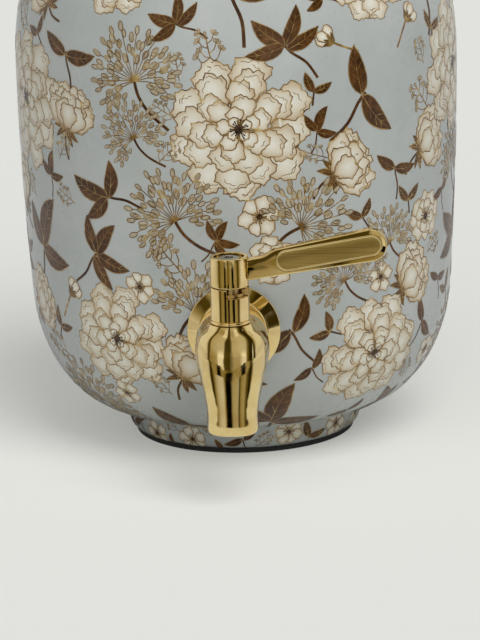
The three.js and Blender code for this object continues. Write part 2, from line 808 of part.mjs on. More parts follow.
const hubBottomRise = bonnetTopRise + hubGap;
const squareBottomRise = hubBottomRise - seatGap;
const squareTopRise = squareBottomRise + squareHeight;
const oringInnerRadius = spindleBoreRadius - seatGap / 2 - oringSectionRadius * 2;
const grooveRadius = oringInnerRadius - seatGap / 2;

function grooveOutline(middleRise) {
  return [
    [spindleRadius, middleRise - oringGrooveHeight / 2],
    [grooveRadius, middleRise - oringGrooveHeight / 2],
    [grooveRadius, middleRise + oringGrooveHeight / 2],
    [spindleRadius, middleRise + oringGrooveHeight / 2],
  ];
}

const spindleOutline = [
  [0, spindleFlangeBottomRise],
  [spindleFlangeRadius, spindleFlangeBottomRise],
  [spindleFlangeRadius, spindleFlangeTopRise],
  [spindleRadius, spindleFlangeTopRise],
  ...grooveOutline(lowerOringRise),
  ...grooveOutline(upperOringRise),
  [spindleRadius, squareBottomRise],
  [0, squareBottomRise],
];
const spindleBlank = joined([
  turned(spindleOutline, roundSteps),
  block(squareHalfWidth * 2, squareHalfWidth * 2, squareBottomRise - cutOverrun, squareTopRise),
  block(tangWidth, tangLength, rotorTopRise - tangDepth, spindleFlangeTopRise),
]);
const hubTopRise = hubBottomRise + hubHeight;
const hubRecessFloor = hubTopRise - hubRecessDepth;
const screwHeadBottom = hubRecessFloor + screwWasherThickness;
const screwEnd = screwHeadBottom - screwLength;
const tappedHoleBottom = screwEnd - seatGap;
const tappedHole = column(tappedHoleRadius, tappedHoleBottom, squareTopRise + cutOverrun, smallSteps);
addPiece(tap, 'spindle', geometryOf(cutFrom(spindleBlank, [tappedHole])), brassColor, 0.3, 1);

const oringPlaces = [
  ['spindle_oring_lower', lowerOringRise],
  ['spindle_oring_upper', upperOringRise],
];
for (const [name, rise] of oringPlaces) {
  const middleRadius = oringInnerRadius + oringSectionRadius;
  const section = arcOutline(middleRadius, rise, oringSectionRadius, 0, 360, arcSteps).slice(1);
  addPiece(tap, name, turned(section, roundSteps), sealColor, 0.7, 0);
}

const thrustWasherBottom = spindleFlangeTopRise + seatGap / 2;
const thrustWasher = ring(
  spindleBoreRadius,
  spindleFlangeRadius,
  thrustWasherBottom,
  thrustWasherBottom + thrustWasherThickness,
  roundSteps,
);
addPiece(tap, 'thrust_washer', thrustWasher, siliconeColor, 0.5, 0);

const stopWasherBottom = bonnetRecessRise + stopWasherGap;
const stopWasherTop = stopWasherBottom + stopWasherThickness;
const stopWasherInner = spindleRadius + seatGap;
const stopWasherOuter = stopWasherInner + stopWasherWidth;
const lugBottom = bonnetTopRise - notchDepth + stopWasherGap;
const stopWasher = joined([
  ring(stopWasherInner, stopWasherOuter, stopWasherBottom, stopWasherTop, roundSteps),
  sector(
    stopWasherOuter - stopWasherWidth / 2,
    bonnetRadius - lugInset,
    -lugHalfAngle,
    lugHalfAngle,
    lugBottom,
    lugBottom + lugHeight,
  ),
]);
addPiece(tap, 'stop_washer', geometryOf(stopWasher), brassColor, 0.25, 1);

// Lever: hub and flat upright arm in one casting, with a plate sunk in each face of the arm.
// Places on the arm are [along, up] from where its centre line meets the spindle's axis.

const hubSocketTop = hubRecessFloor - hubWebThickness;
const hubOutline = [
  [0, hubBottomRise],
  [hubRadius - hubEdge, hubBottomRise],
  [hubRadius, hubBottomRise + hubEdge],
  [hubRadius, hubTopRise - hubEdge],
  [hubRadius - hubEdge, hubTopRise],
  [hubRecessRadius + hubEdge / 2, hubTopRise],
  [hubRecessRadius, hubTopRise - hubEdge / 2],
  [hubRecessRadius, hubRecessFloor],
  [0, hubRecessFloor],
];
const leverAxisHeight = hubBottomRise + leverAxisRise;
const leverSlope = leverRiseAngle * degrees;

function onArm(along, up) {
  return new THREE.Vector2(
    along * Math.cos(leverSlope) - up * Math.sin(leverSlope),
    leverAxisHeight + along * Math.sin(leverSlope) + up * Math.cos(leverSlope),
  );
}

function armCurve(shape, handleA, handleB, end) {
  const [a, b, c] = [onArm(...handleA), onArm(...handleB), onArm(...end)];
  shape.bezierCurveTo(a.x, a.y, b.x, b.y, c.x, c.y);
}

function armLine(shape, along, up) {
  const point = onArm(along, up);
  shape.lineTo(point.x, point.y);
}

const armEnd = leverLength - leverTipHalfWidth;
const armRoot = (hubRadius + hubRecessRadius) / 2;
const neckStart = hubRadius * neckStartShare;
const neckEnd = hubRadius * neckEndShare;
const armShape = new THREE.Shape();
const armStart = onArm(armRoot, -leverRootHalfWidth);
armShape.moveTo(armStart.x, armStart.y);
armLine(armShape, (neckEnd + armEnd) / 2, (-leverRootHalfWidth - leverTipHalfWidth) / 2);
armLine(armShape, armEnd, -leverTipHalfWidth);
armShape.absarc(
  onArm(armEnd, 0).x,
  onArm(armEnd, 0).y,
  leverTipHalfWidth,
  -quarterTurn + leverSlope,
  quarterTurn + leverSlope,
  false,
);
armLine(armShape, (neckEnd + armEnd) / 2, leverTipHalfWidth);
armLine(armShape, neckEnd, leverRootHalfWidth);
armCurve(
  armShape,
  [(neckStart + neckEnd) / 2, leverRootHalfWidth * neckHandleShare],
  [(neckStart + neckEnd) / 2, leverNeckTop],
  [neckStart, leverNeckTop],
);
armLine(armShape, armRoot, leverNeckTop);
armShape.closePath();

function standing(geometry) {
  geometry.rotateX(quarterTurn);
  return geometry;
}

const armBlank = new THREE.ExtrudeGeometry(armShape, {
  depth: leverThickness - leverEdge * 2,
  bevelEnabled: true,
  bevelThickness: leverEdge,
  bevelSize: leverEdge,
  bevelOffset: -leverEdge,
  bevelSegments: edgeSteps,
  curveSegments: armRoundSteps,
});
armBlank.translate(0, 0, leverEdge - leverThickness / 2);

function inlaySolid(halfWidth, low, high) {
  const start = inlayStart + inlayHalfWidth;
  const end = leverLength - inlayTipMargin - inlayHalfWidth;
  const shape = new THREE.Shape();
  const [startPoint, endPoint] = [onArm(start, 0), onArm(end, 0)];
  const turn = quarterTurn + leverSlope;
  shape.absarc(endPoint.x, endPoint.y, halfWidth, turn - Math.PI, turn, false);
  shape.absarc(startPoint.x, startPoint.y, halfWidth, turn, turn + Math.PI, false);
  shape.closePath();
  const geometry = new THREE.ExtrudeGeometry(shape, {
    depth: high - low,
    bevelEnabled: false,
    curveSegments: armRoundSteps,
  });
  geometry.translate(0, 0, low);
  return standing(geometry);
}

const armFace = leverThickness / 2;
const recessFloor = armFace - inlayRecessDepth;
const inlayFloor = recessFloor + inlayClearance / 2;
const leverBlank = joined([turned(hubOutline, roundSteps), standing(armBlank)]);
const lever = cutFrom(leverBlank, [
  inlaySolid(inlayHalfWidth, recessFloor, armFace + cutOverrun),
  inlaySolid(inlayHalfWidth, -armFace - cutOverrun, -recessFloor),
  block(
    (squareHalfWidth + squareClearance) * 2,
    (squareHalfWidth + squareClearance) * 2,
    hubBottomRise - cutOverrun,
    hubSocketTop,
  ),
  column(screwRadius + seatGap * 2, hubSocketTop - cutOverrun, hubRecessFloor + cutOverrun, smallSteps),
]);
addPiece(tap, 'lever_handle', geometryOf(lever), brassColor, 0.12, 1);

const plateHalfWidth = inlayHalfWidth - inlayClearance;
const frontPlate = inlaySolid(plateHalfWidth, inlayFloor, inlayFloor + inlayThickness);
addPiece(tap, 'lever_inlay_front', frontPlate, brushedBrassColor, 0.4, 1);
const backPlate = inlaySolid(plateHalfWidth, -inlayFloor - inlayThickness, -inlayFloor);
addPiece(tap, 'lever_inlay_back', backPlate, brushedBrassColor, 0.4, 1);

// Screw and washer in the hub's recess

const screwWasher = ring(
  screwRadius + seatGap,
  screwWasherRadius,
  hubRecessFloor,
  screwHeadBottom,
  roundSteps,
);
addPiece(tap, 'handle_screw_washer', screwWasher, steelColor, 0.3, 1);

const screwHeadTop = screwHeadBottom + screwHeadHeight;
const screwOutline = [
  [0, screwEnd],
  [screwRadius, screwEnd],
  [screwRadius, screwHeadBottom],
  [screwHeadRadius, screwHeadBottom],
  [screwHeadRadius, screwHeadTop - seatGap],
  [screwHeadRadius - seatGap, screwHeadTop],
  [0, screwHeadTop],
];
const socketFloor = screwHeadTop - screwSocketDepth;
const screwSocket = column(screwSocketRadius, socketFloor, screwHeadTop + cutOverrun, hexSides);
const handleScrew = cutFrom(solidOf(turned(screwOutline, smallSteps)), [screwSocket]);
addPiece(tap, 'handle_screw', geometryOf(handleScrew), steelColor, 0.3, 1);

export default dispenser;
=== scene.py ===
import bisect
import math
import random

import bmesh
import bpy
from mathutils import Matrix, Vector


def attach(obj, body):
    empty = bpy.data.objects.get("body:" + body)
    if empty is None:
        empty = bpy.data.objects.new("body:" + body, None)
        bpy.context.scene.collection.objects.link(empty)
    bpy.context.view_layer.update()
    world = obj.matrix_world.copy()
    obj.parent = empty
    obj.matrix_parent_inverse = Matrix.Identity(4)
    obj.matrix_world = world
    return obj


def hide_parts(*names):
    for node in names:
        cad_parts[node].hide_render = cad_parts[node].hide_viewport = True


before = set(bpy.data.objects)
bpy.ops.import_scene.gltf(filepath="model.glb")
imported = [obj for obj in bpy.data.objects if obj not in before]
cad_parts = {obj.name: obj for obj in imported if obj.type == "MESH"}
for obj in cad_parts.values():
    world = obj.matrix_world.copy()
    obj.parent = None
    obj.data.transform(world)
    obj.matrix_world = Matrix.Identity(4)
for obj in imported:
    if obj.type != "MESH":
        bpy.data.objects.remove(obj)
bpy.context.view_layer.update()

scene = bpy.context.scene

# Camera: a long lens about two metres from the pot, a little to its right and above it.
# The pot leans by about a degree and a half in the picture, so the camera is rolled.
camera_distance = 2.042
camera_azimuth = math.radians(2.35)
camera_elevation = math.radians(14.5)
camera_roll = math.radians(1.46)
frame_pixels = (480, 640)
focal_pixels = 4651
base_pixel = (245.4, 423.0)
farthest = 60

forward = Vector((
    -math.sin(camera_azimuth) * math.cos(camera_elevation),
    math.cos(camera_azimuth) * math.cos(camera_elevation),
    -math.sin(camera_elevation),
))
level_right = Vector((math.cos(camera_azimuth), math.sin(camera_azimuth), 0))
level_up = level_right.cross(forward)
right = level_right * math.cos(camera_roll) - level_up * math.sin(camera_roll)
up = level_up * math.cos(camera_roll) + level_right * math.sin(camera_roll)
metres_per_pixel = camera_distance / focal_pixels
aside = (base_pixel[0] - frame_pixels[0] / 2) * metres_per_pixel
below = (base_pixel[1] - frame_pixels[1] / 2) * metres_per_pixel

camera = bpy.data.objects.new("camera", bpy.data.cameras.new("camera"))
camera.data.lens = focal_pixels * camera.data.sensor_width / frame_pixels[1]
camera.location = forward * -camera_distance - right * aside + up * below
camera.rotation_euler = Matrix((right, up, -forward)).transposed().to_euler()
camera.data.clip_end = farthest
scene.collection.objects.link(camera)
scene.camera = camera
scene.view_settings.view_transform = "Standard"

# Studio: a pale floor with no end under a pale sky, and two broad lamps in front of the pot.
# Polished metal mirrors a room of its own: walls, a ceiling, and a table that starts in front of
# the tap. The spout shows the table's near part, the bonnet its middle and the hub its far part.
floor_size = 40
floor_color = (0.76, 0.77, 0.73, 1)
floor_lit_color = (0.524, 0.530, 0.503, 1)
floor_own_color = (0.300, 0.303, 0.288, 1)
backdrop_color = (0.761, 0.768, 0.731, 1)
sky_color = (0.15, 0.15, 0.15, 1)
lamps = (
    ("key_lamp", (0.36, -0.60, 0.90), 2.05, 40),
    ("fill_lamp", (-0.15, -0.90, 0.55), 1.2, 80),
)
# Each stop: degrees to the right of straight ahead of the tap, and how bright that way is.
near_stops = (
    (-180, 0.75), (-74, 0.72), (-67, 0.60), (-62, 0.10), (-56, 0.02), (-50, 0.10), (-44, 0.34), (-30, 0.60),
    (-16, 0.66), (-12, 0.34), (-9.5, 0.003), (-2, 0.002), (-0.5, 0.42), (9, 0.50), (14, 0.02), (17, 0.30),
    (30, 0.44), (40, 0.14), (50, 0.02), (58, 0.04), (64, 0.40), (68, 0.70), (180, 0.75),
)
middle_stops = (
    (-180, 0.80), (-72, 0.78), (-65, 0.50), (-61, 0.10), (-54, 0.07), (-48, 0.34), (-34, 0.34), (-29, 0.004),
    (-21, 0.004), (-16, 0.34), (-8.5, 0.14), (-7, 0.004), (-1, 0.004), (1, 0.40), (15, 0.34), (19, 0.002),
    (29, 0.002), (34, 0.42), (46, 0.34), (50, 0.07), (57, 0.08), (63, 0.60), (70, 0.78), (180, 0.80),
)
far_stops = (
    (-180, 0.60), (-125, 0.82), (-100, 0.80), (-80, 0.62), (-68, 0.34), (-63, 0.10), (-56, 0.10), (-50, 0.30),
    (-31, 0.34), (-28, 0.004), (-21, 0.004), (-17, 0.36), (-9, 0.26), (-4, 0.10), (1, 0.30), (13, 0.40),
    (17, 0.002), (26, 0.002), (29, 0.42), (44, 0.34), (49, 0.10), (58, 0.10), (64, 0.36), (72, 0.66),
    (84, 0.84), (180, 0.60),
)
wall_stops = (
    (-180, 0.72), (-84, 0.72), (-72, 0.60), (-66, 0.10), (-60, 0.05), (-55, 0.34), (-38, 0.36), (-28, 0.44),
    (-24, 0.90), (-12, 0.90), (-10, 0.10), (-3, 0.06), (1, 0.46), (12, 0.46), (20, 0.86), (30, 0.86),
    (36, 0.20), (44, 0.06), (50, 0.02), (59, 0.02), (60.5, 0.80), (63.5, 0.80), (65, 0.03), (72, 0.05),
    (80, 0.66), (180, 0.70),
)
ceiling_stops = (
    (-180, 0.72), (-78, 0.72), (-70, 0.40), (-64, 0.07), (-57, 0.07), (-52, 0.42), (-20, 0.54), (-11, 0.54),
    (-9, 0.06), (-2, 0.05), (0, 0.48), (14, 0.54), (30, 0.54), (40, 0.12), (48, 0.03), (66, 0.03),
    (74, 0.30), (90, 0.72), (180, 0.72),
)
zenith_color = (0.66, 0.62, 0.50, 1)
ceiling_rise, zenith_rise = (0.05, 0.26), (0.80, 0.88)
shade_tint, shade_from, shade_strength = (1.0, 0.76, 0.14), 0.62, 1.6
table_front, table_fade, table_bow, bow_end = 0.123, 0.008, 1.9, 0.25
near_end, middle_end, far_end, band_fade = 0.300, 0.380, 0.440, 0.003
tap_forward = 0.12471


def add_node(tree, kind, values=(), output=0, **settings):
    """Adds a shader node, links or sets its inputs, and gives the output that is asked for."""
    node = tree.nodes.new("ShaderNode" + kind)
    for name, value in settings.items():
        setattr(node, name, value)
    for socket, value in dict(values).items():
        if isinstance(value, bpy.types.NodeSocket):
            tree.links.new(value, node.inputs[socket])
        else:
            node.inputs[socket].default_value = value
    return node.outputs[output]


def worked_out(tree, operation, *terms):
    return add_node(tree, "Math", dict(enumerate(terms)), operation=operation)


def between(tree, value, *ends):
    """Where the value lies between two ends, from 0 to 1 or from the third to the fourth."""
    return add_node(tree, "MapRange", dict(enumerate((value, *ends))))


def mix(tree, factor, a, b, **settings):
    values = {"Factor": factor, "A": a, "B": b}
    return add_node(tree, "Mix", values, "Result", data_type="RGBA", **settings)


def axes_of(tree, place):
    return add_node(tree, "SeparateXYZ", {"Vector": place}).node.outputs


def distance_out(tree, x, y):
    flat = add_node(tree, "CombineXYZ", {"X": x, "Y": y})
    return add_node(tree, "VectorMath", {0: flat}, "Value", operation="LENGTH")


def ramp(tree, factor, stops):
    color = add_node(tree, "ValToRGB", {"Fac": factor}, "Color")
    points = color.node.color_ramp.elements
    while len(points) < len(stops):
        points.new(0.5)
    for point, (position, tone) in zip(points, stops):
        point.position = position
        point.color = (*tone, 1)
    return color


def panorama(tree, x, ahead, stops):
    """A colour for each direction round the tap, darker ones browner."""
    turn = worked_out(tree, "ARCTAN2", x, ahead)
    share = worked_out(tree, "MULTIPLY_ADD", turn, 1 / math.tau, 0.5)
    colors = []
    for angle, value in stops:
        deep = min(1, max(0, shade_strength * (1 - value / shade_from)))
        colors.append((angle / 360 + 0.5, [value * (1 - deep * (1 - part)) for part in shade_tint]))
    return ramp(tree, share, colors)


def finish_of(name, **sockets):
    material = bpy.data.materials.new(name)
    material.use_nodes = True
    shader = material.node_tree.nodes["Principled BSDF"]
    for socket, value in sockets.items():
        shader.inputs[socket.replace("_", " ")].default_value = value
    return material, material.node_tree, shader


def join(shader, **links):
    for socket, output in links.items():
        shader.id_data.links.new(output, shader.inputs[socket.replace("_", " ")])


def made(shape, name, place=None):
    if place:
        bmesh.ops.transform(shape, matrix=place, verts=shape.verts)
    mesh = bpy.data.meshes.new(name)
    shape.to_mesh(mesh)
    shape.free()
    piece = bpy.data.objects.new(name, mesh)
    scene.collection.objects.link(piece)
    return piece


world = bpy.data.worlds.new("studio")
world.use_nodes = True
scene.world = world
room = world.node_tree
axes = axes_of(room, add_node(room, "TexCoord", output="Generated"))
ahead = worked_out(room, "MULTIPLY", axes["Y"], -1.0)
walls = panorama(room, axes["X"], ahead, wall_stops)
above = panorama(room, axes["X"], ahead, ceiling_stops)
ceiling = mix(room, between(room, axes["Z"], *ceiling_rise), walls, above)
ceiling = mix(room, between(room, axes["Z"], *zenith_rise), ceiling, zenith_color)
rays = add_node(room, "LightPath").node.outputs
seen = mix(room, rays["Is Camera Ray"], sky_color, backdrop_color)
join(room.nodes["Background"], Color=mix(room, rays["Is Glossy Ray"], seen, ceiling))

for name, toward, strength, softness in lamps:
    lamp = bpy.data.objects.new(name, bpy.data.lights.new(name, "SUN"))
    lamp.data.energy = strength
    lamp.data.angle = math.radians(softness)
    lamp.visible_glossy = False
    lamp.rotation_euler = Vector(toward).to_track_quat("Z", "Y").to_euler()
    scene.collection.objects.link(lamp)

floor_shape = bmesh.new()
bmesh.ops.create_grid(floor_shape, x_segments=1, y_segments=1, size=floor_size / 2)
floor = made(floor_shape, "floor")
floor_paint, tree, matte = finish_of("pale_floor", Roughness=0.9, Specular_IOR_Level=0.0, Emission_Strength=1.0)
axes = axes_of(tree, add_node(tree, "TexCoord", output="Object"))
ahead = worked_out(tree, "MULTIPLY_ADD", axes["Y"], -1.0, -tap_forward)
away = distance_out(tree, axes["X"], ahead)
across = worked_out(tree, "MULTIPLY", axes["X"], axes["X"])
bent = worked_out(tree, "MULTIPLY_ADD", across, -table_bow, away)
covered = worked_out(
    tree, "MAXIMUM", between(tree, bent, table_front, table_front + table_fade),
    between(tree, away, bow_end, bow_end + band_fade),
)
rays = add_node(tree, "LightPath").node.outputs
pale = mix(tree, rays["Is Camera Ray"], floor_color, floor_lit_color)
table = panorama(tree, axes["X"], ahead, near_stops)
for start, stops in ((near_end, middle_stops), (middle_end, far_stops), (far_end, wall_stops)):
    past = between(tree, away, start, start + band_fade)
    table = mix(tree, past, table, panorama(tree, axes["X"], ahead, stops))
mirrored = worked_out(tree, "MULTIPLY", covered, rays["Is Glossy Ray"])
glow = mix(tree, rays["Is Camera Ray"], (0, 0, 0, 1), floor_own_color)
join(matte, Base_Color=mix(tree, mirrored, pale, table), Emission_Color=glow)
floor.data.materials.append(floor_paint)

# Pot: one spun copper sheet with a round heel, a nearly upright wall, a shoulder and a lip.
# Its outside is glossy grey-blue enamel, and its inside is bare copper.
# The enamel lies print_depth inside the pot's true outline, and the print on it fills that.
wall = 0.001
print_depth = 0.0003
belt_radius, belt_height = 0.095, 0.168
heel_radius, heel_height = 0.0908, 0.062
bottom_radius, bottom_height = 0.050, 0.013
mouth_radius, shoulder_height = 0.050, 0.232
lip_rise, lip_fillet = 0.008, 0.002
heel_shares, wall_shares, shoulder_shares = (0.61, 0.47), (0.12, 0.42), (0.62, 0.6)
heel_lean = 0.08
tap_height = 0.0666
tap_hole_radius, tap_hole_reach = 0.01088, (0.05, 0.11)
pot_steps = 256
flat_bottom = 0.02
enamel_glaze = {"Coat_Weight": 0.4, "Coat_Roughness": 0.06, "Specular_IOR_Level": 0.15}
upright, lying = Matrix.Identity(4), Matrix.Rotation(math.radians(90), 4, "X")


def bezier(start, handle_a, handle_b, end, steps):
    points = []
    for i in range(steps + 1):
        t = i / steps
        weights = ((1 - t) ** 3, 3 * t * (1 - t) ** 2, 3 * t * t * (1 - t), t ** 3)
        corners = (start, handle_a, handle_b, end)
        points.append(tuple(sum(w * c[k] for w, c in zip(weights, corners)) for k in (0, 1)))
    return points


def arc(centre, radius, start, stop, steps):
    angles = [math.radians(start + (stop - start) * i / steps) for i in range(steps + 1)]
    return [(centre[0] + radius * math.cos(a), centre[1] + radius * math.sin(a)) for a in angles]


def outward(outline):
    """The direction straight out of the outline at each of its points."""
    last = len(outline) - 1
    ends = [(outline[max(i - 1, 0)], outline[min(i + 1, last)]) for i in range(last + 1)]
    runs = [Vector((after[0] - before[0], after[1] - before[1])).normalized() for before, after in ends]
    return [(along.y, -along.x) for along in runs]


def offset(outline, distance):
    return [
        (max(radius + out_r * distance, 0), height + out_z * distance)
        for (radius, height), (out_r, out_z) in zip(outline, outward(outline))
    ]


def held(outline, closed, margin=0.00015, margins=6, longer=4):
    """Adds a point close to each end of a long straight run, so that it stays flat between bends."""
    count = len(outline)
    spans = count if closed else count - 1
    points = []
    for i in range(spans):
        start, end = Vector(outline[i]), Vector(outline[(i + 1) % count])
        length = (end - start).length
        points.append(tuple(start))
        if length < margin * margins:
            continue
        before, after = Vector(outline[i - 1]), Vector(outline[(i + 2) % count])
        along = (end - start) / length
        if (closed or i > 0) and (start - before).length * longer < length:
            points.append(tuple(start + along * margin))
        if (closed or i < spans - 1) and (after - end).length * longer < length:
            points.append(tuple(end - along * margin))
    return points if closed else [*points, outline[-1]]


def spun(outline, steps, closed=True):
    shape = bmesh.new()
    points = [shape.verts.new((radius, 0, height)) for radius, height in held(outline, closed)]
    pairs = list(zip(points, points[1:]))
    if closed:
        pairs.append((points[-1], points[0]))
    sides = [shape.edges.new(pair) for pair in pairs]
    bmesh.ops.spin(
        shape, geom=points + sides, cent=(0, 0, 0), axis=(0, 0, 1), dvec=(0, 0, 0),
        angle=math.tau, steps=steps, use_merge=True, use_duplicate=False,
    )
    bmesh.ops.remove_doubles(shape, verts=shape.verts, dist=1e-7)
    bmesh.ops.recalc_face_normals(shape, faces=shape.faces)
    return shape


def rod(radius, low, high, place=upright, steps=64):
    outline = [(0, low), (radius, low), (radius, high), (0, high)]
    return made(spun(outline, steps, closed=False), "rod", place)


def settled(piece):
    """The piece's mesh with its modifiers applied, in place of the old one."""
    bpy.context.view_layer.update()
    graph = bpy.context.evaluated_depsgraph_get()
    mesh = bpy.data.meshes.new_from_object(piece.evaluated_get(graph))
    piece.modifiers.clear()
    piece.data = mesh


def carved(piece, cutters, operation="DIFFERENCE"):
    for cutter in cutters:
        cut = piece.modifiers.new("cut", "BOOLEAN")
        cut.operation = operation
        cut.solver = "EXACT"
        cut.object = cutter
    settled(piece)
    for cutter in cutters:
        bpy.data.objects.remove(cutter)


def seated(piece, body, slot, material, *replaced, sharp=32, even=False):
    piece.data.shade_smooth()
    piece.data.set_sharp_from_angle(angle=math.radians(sharp))
    if even:
        piece.modifiers.new("even", "WEIGHTED_NORMAL").keep_sharp = True
        settled(piece)
    piece.data.materials.append(material)
    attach(piece, body)
    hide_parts(*replaced)
    return piece


def object_place(tree):
    return add_node(tree, "TexCoord", output="Object")


def noise(tree, place, scale, detail, roughness=0.5):
    values = {"Vector": place, "Scale": scale, "Detail": detail, "Roughness": roughness}
    return add_node(tree, "TexNoise", values, "Fac")


def bump(tree, height, strength, distance):
    values = {"Strength": strength, "Distance": distance, "Height": height}
    return add_node(tree, "Bump", values, "Normal")


def new_group(name, inputs, outputs):
    group = bpy.data.node_groups.new(name, "ShaderNodeTree")
    for socket, value in inputs.items():
        entry = group.interface.new_socket(socket, in_out="INPUT", socket_type="NodeSocketFloat")
        entry.default_value = value
    for socket, kind in outputs.items():
        group.interface.new_socket(socket, in_out="OUTPUT", socket_type="NodeSocket" + kind)
    return group, group.nodes.new("NodeGroupInput").outputs, group.nodes.new("NodeGroupOutput").inputs


def use_group(tree, group, **values):
    node = tree.nodes.new("ShaderNodeGroup")
    node.node_tree = group
    for socket, value in values.items():
        node.inputs[socket].default_value = value
    return node.outputs


# handled: the faint uneven sheen that wiping and hands leave on a polished or glazed surface
handled, values_in, values_out = new_group(
    "handled", {"Scale": 60, "Least": 0.05, "Most": 0.15}, {"Roughness": "Float", "Mask": "Float"}
)
smears = between(handled, noise(handled, object_place(handled), values_in["Scale"], 6, 0.62), 0.38, 0.68)
handled.links.new(between(handled, smears, 0, 1, values_in["Least"], values_in["Most"]), values_out["Roughness"])
handled.links.new(smears, values_out["Mask"])

# turned: the fine rings that spinning leaves, round the object's upright axis
turned, values_in, values_out = new_group("turned", {"Rings": 1500, "Depth": 0.02}, {"Normal": "Vector"})
axes = axes_of(turned, object_place(turned))
across = worked_out(turned, "ADD", distance_out(turned, axes["X"], axes["Y"]), axes["Z"])
rings = add_node(
    turned, "TexNoise", {"W": across, "Scale": values_in["Rings"], "Detail": 3}, "Fac", noise_dimensions="1D"
)
turned.links.new(bump(turned, rings, values_in["Depth"], 0.0002), values_out["Normal"])


def wiped(shader, scale, least, most, *tones):
    """Uneven sheen, and where there are two tones, the second one where it is dullest."""
    sheen = use_group(shader.id_data, handled, Scale=scale, Least=least, Most=most)
    join(shader, Roughness=sheen["Roughness"])
    if len(tones) > 1:
        join(shader, Base_Color=ramp(shader.id_data, sheen["Mask"], list(zip((0, 1), tones))))


def metal_of(name, scale, least, most, *tones):
    material, tree, shader = finish_of(name, Metallic=1.0, Base_Color=(*tones[0], 1))
    wiped(shader, scale, least, most, *tones)
    return material, tree, shader


heel_rise = (heel_height - bottom_height) * heel_shares[1]
wall_rise = belt_height - heel_height
heel = bezier(
    (bottom_radius, bottom_height),
    (bottom_radius + (heel_radius - bottom_radius) * heel_shares[0], bottom_height),
    (heel_radius - heel_rise * heel_lean, heel_height - heel_rise),
    (heel_radius, heel_height), 24,
)
side = bezier(
    (heel_radius, heel_height),
    (heel_radius + wall_rise * wall_shares[0] * heel_lean, heel_height + wall_rise * wall_shares[0]),
    (belt_radius, belt_height - wall_rise * wall_shares[1]),
    (belt_radius, belt_height), 16,
)
shoulder_end = mouth_radius + lip_fillet
shoulder = bezier(
    (belt_radius, belt_height),
    (belt_radius, belt_height + (shoulder_height - belt_height) * shoulder_shares[0]),
    (shoulder_end + (belt_radius - shoulder_end) * shoulder_shares[1], shoulder_height),
    (shoulder_end, shoulder_height), 24,
)
lip = arc((shoulder_end, shoulder_height + lip_fillet), lip_fillet, 270, 180, 5)
pot_outline = [
    (0, bottom_height), *heel, *side[1:], *shoulder[1:], *lip[1:], (mouth_radius, shoulder_height + lip_rise),
]
pot_sheet = [*offset(pot_outline, -print_depth), *reversed(offset(pot_outline, -wall))]
pot = made(spun(pot_sheet, pot_steps, closed=False), "enamelled_pot")
carved(pot, [rod(tap_hole_radius, *tap_hole_reach, Matrix.Translation((0, 0, tap_height)) @ lying)])

enamel, tree, shader = finish_of("grey_blue_enamel", **enamel_glaze)
spot = object_place(tree)
tone = ramp(tree, noise(tree, spot, 22, 4, 0.55), [
    (0.3, (0.355, 0.378, 0.366)), (0.55, (0.395, 0.415, 0.402)), (0.8, (0.44, 0.455, 0.44)),
])
grit = between(tree, noise(tree, spot, 420, 2), 0.62, 0.8, 1.0, 0.9)
ripple = bump(tree, noise(tree, spot, 55, 1), 0.25, 0.0005)
join(shader, Base_Color=mix(tree, 1.0, tone, grit, blend_type="MULTIPLY"), Coat_Normal=ripple)
wiped(shader, 35, 0.22, 0.34)

copper, tree, shader = metal_of("spun_copper", 45, 0.16, 0.34, (0.86, 0.47, 0.31), (0.66, 0.33, 0.21))
join(shader, Normal=use_group(tree, turned, Rings=2600, Depth=0.12)["Normal"])

seated(pot, "dispenser", "printed_enamel", enamel, "pot_body")
pot.data.materials.append(copper)
for face in pot.data.polygons:
    middle = Vector((face.center.x, face.center.y, 0))
    inward = face.normal.dot(middle) < 0 if middle.length > flat_bottom else face.normal.z > 0
    if inward and face.center.z > bottom_height + wall / 2:
        face.material_index = 1

# Foot: a low copper band soldered under the belly, rolled out at its top and enamelled like the
# pot. It is open below, where the base pad plugs in.
foot_radius, foot_sheet = 0.0476, 0.0011
pad_edge_height, foot_top = 0.0024, 0.0127
foot_low_handle, foot_high_handle, foot_rim = (0.0506, 0.0030), (0.0507, 0.0088), 0.0517
foot_start = (foot_radius - print_depth, pad_edge_height)
foot_outside = bezier(foot_start, foot_low_handle, foot_high_handle, (foot_rim, foot_top), 14)
foot_inside = [(radius - foot_sheet + print_depth, height) for radius, height in foot_outside]
foot = made(spun([*foot_outside, *reversed(foot_inside)], pot_steps), "enamelled_foot")
seated(foot, "dispenser", "printed_enamel", enamel, "foot_ring")

# Base pad: one piece of moulded black rubber that plugs into the foot and keeps it off the
# table. Its edge shows as a thin dark band under the foot. That band is partly the black rubber's
# own colour and partly painted shade, standing in for the shadow where the foot curves under.
pad_radius, pad_plug_radius, pad_rounding = 0.0474, 0.0462, 0.0006
plate_steps = 128
rubber, tree, shader = finish_of("black_rubber", Roughness=0.75)
pores = noise(tree, object_place(tree), 900, 3)
tone = ramp(tree, pores, [(0.3, (0.009, 0.009, 0.010)), (0.75, (0.024, 0.023, 0.022))])
join(shader, Base_Color=tone, Normal=bump(tree, pores, 0.3, 0.0002))
pad_outline = [
    (0, 0), *arc((pad_radius - pad_rounding, pad_rounding), pad_rounding, 270, 360, 6),
    (pad_radius, pad_edge_height), (pad_plug_radius, pad_edge_height), (pad_plug_radius, foot_top), (0, foot_top),
]
# The pad's near-black edge is partly the rubber's colour and partly painted shade under the foot.
pad = made(spun(pad_outline, plate_steps, closed=False), "rubber_pad_and_painted_shade")
seated(pad, "dispenser", "black_rubber", rubber, "base_pad")

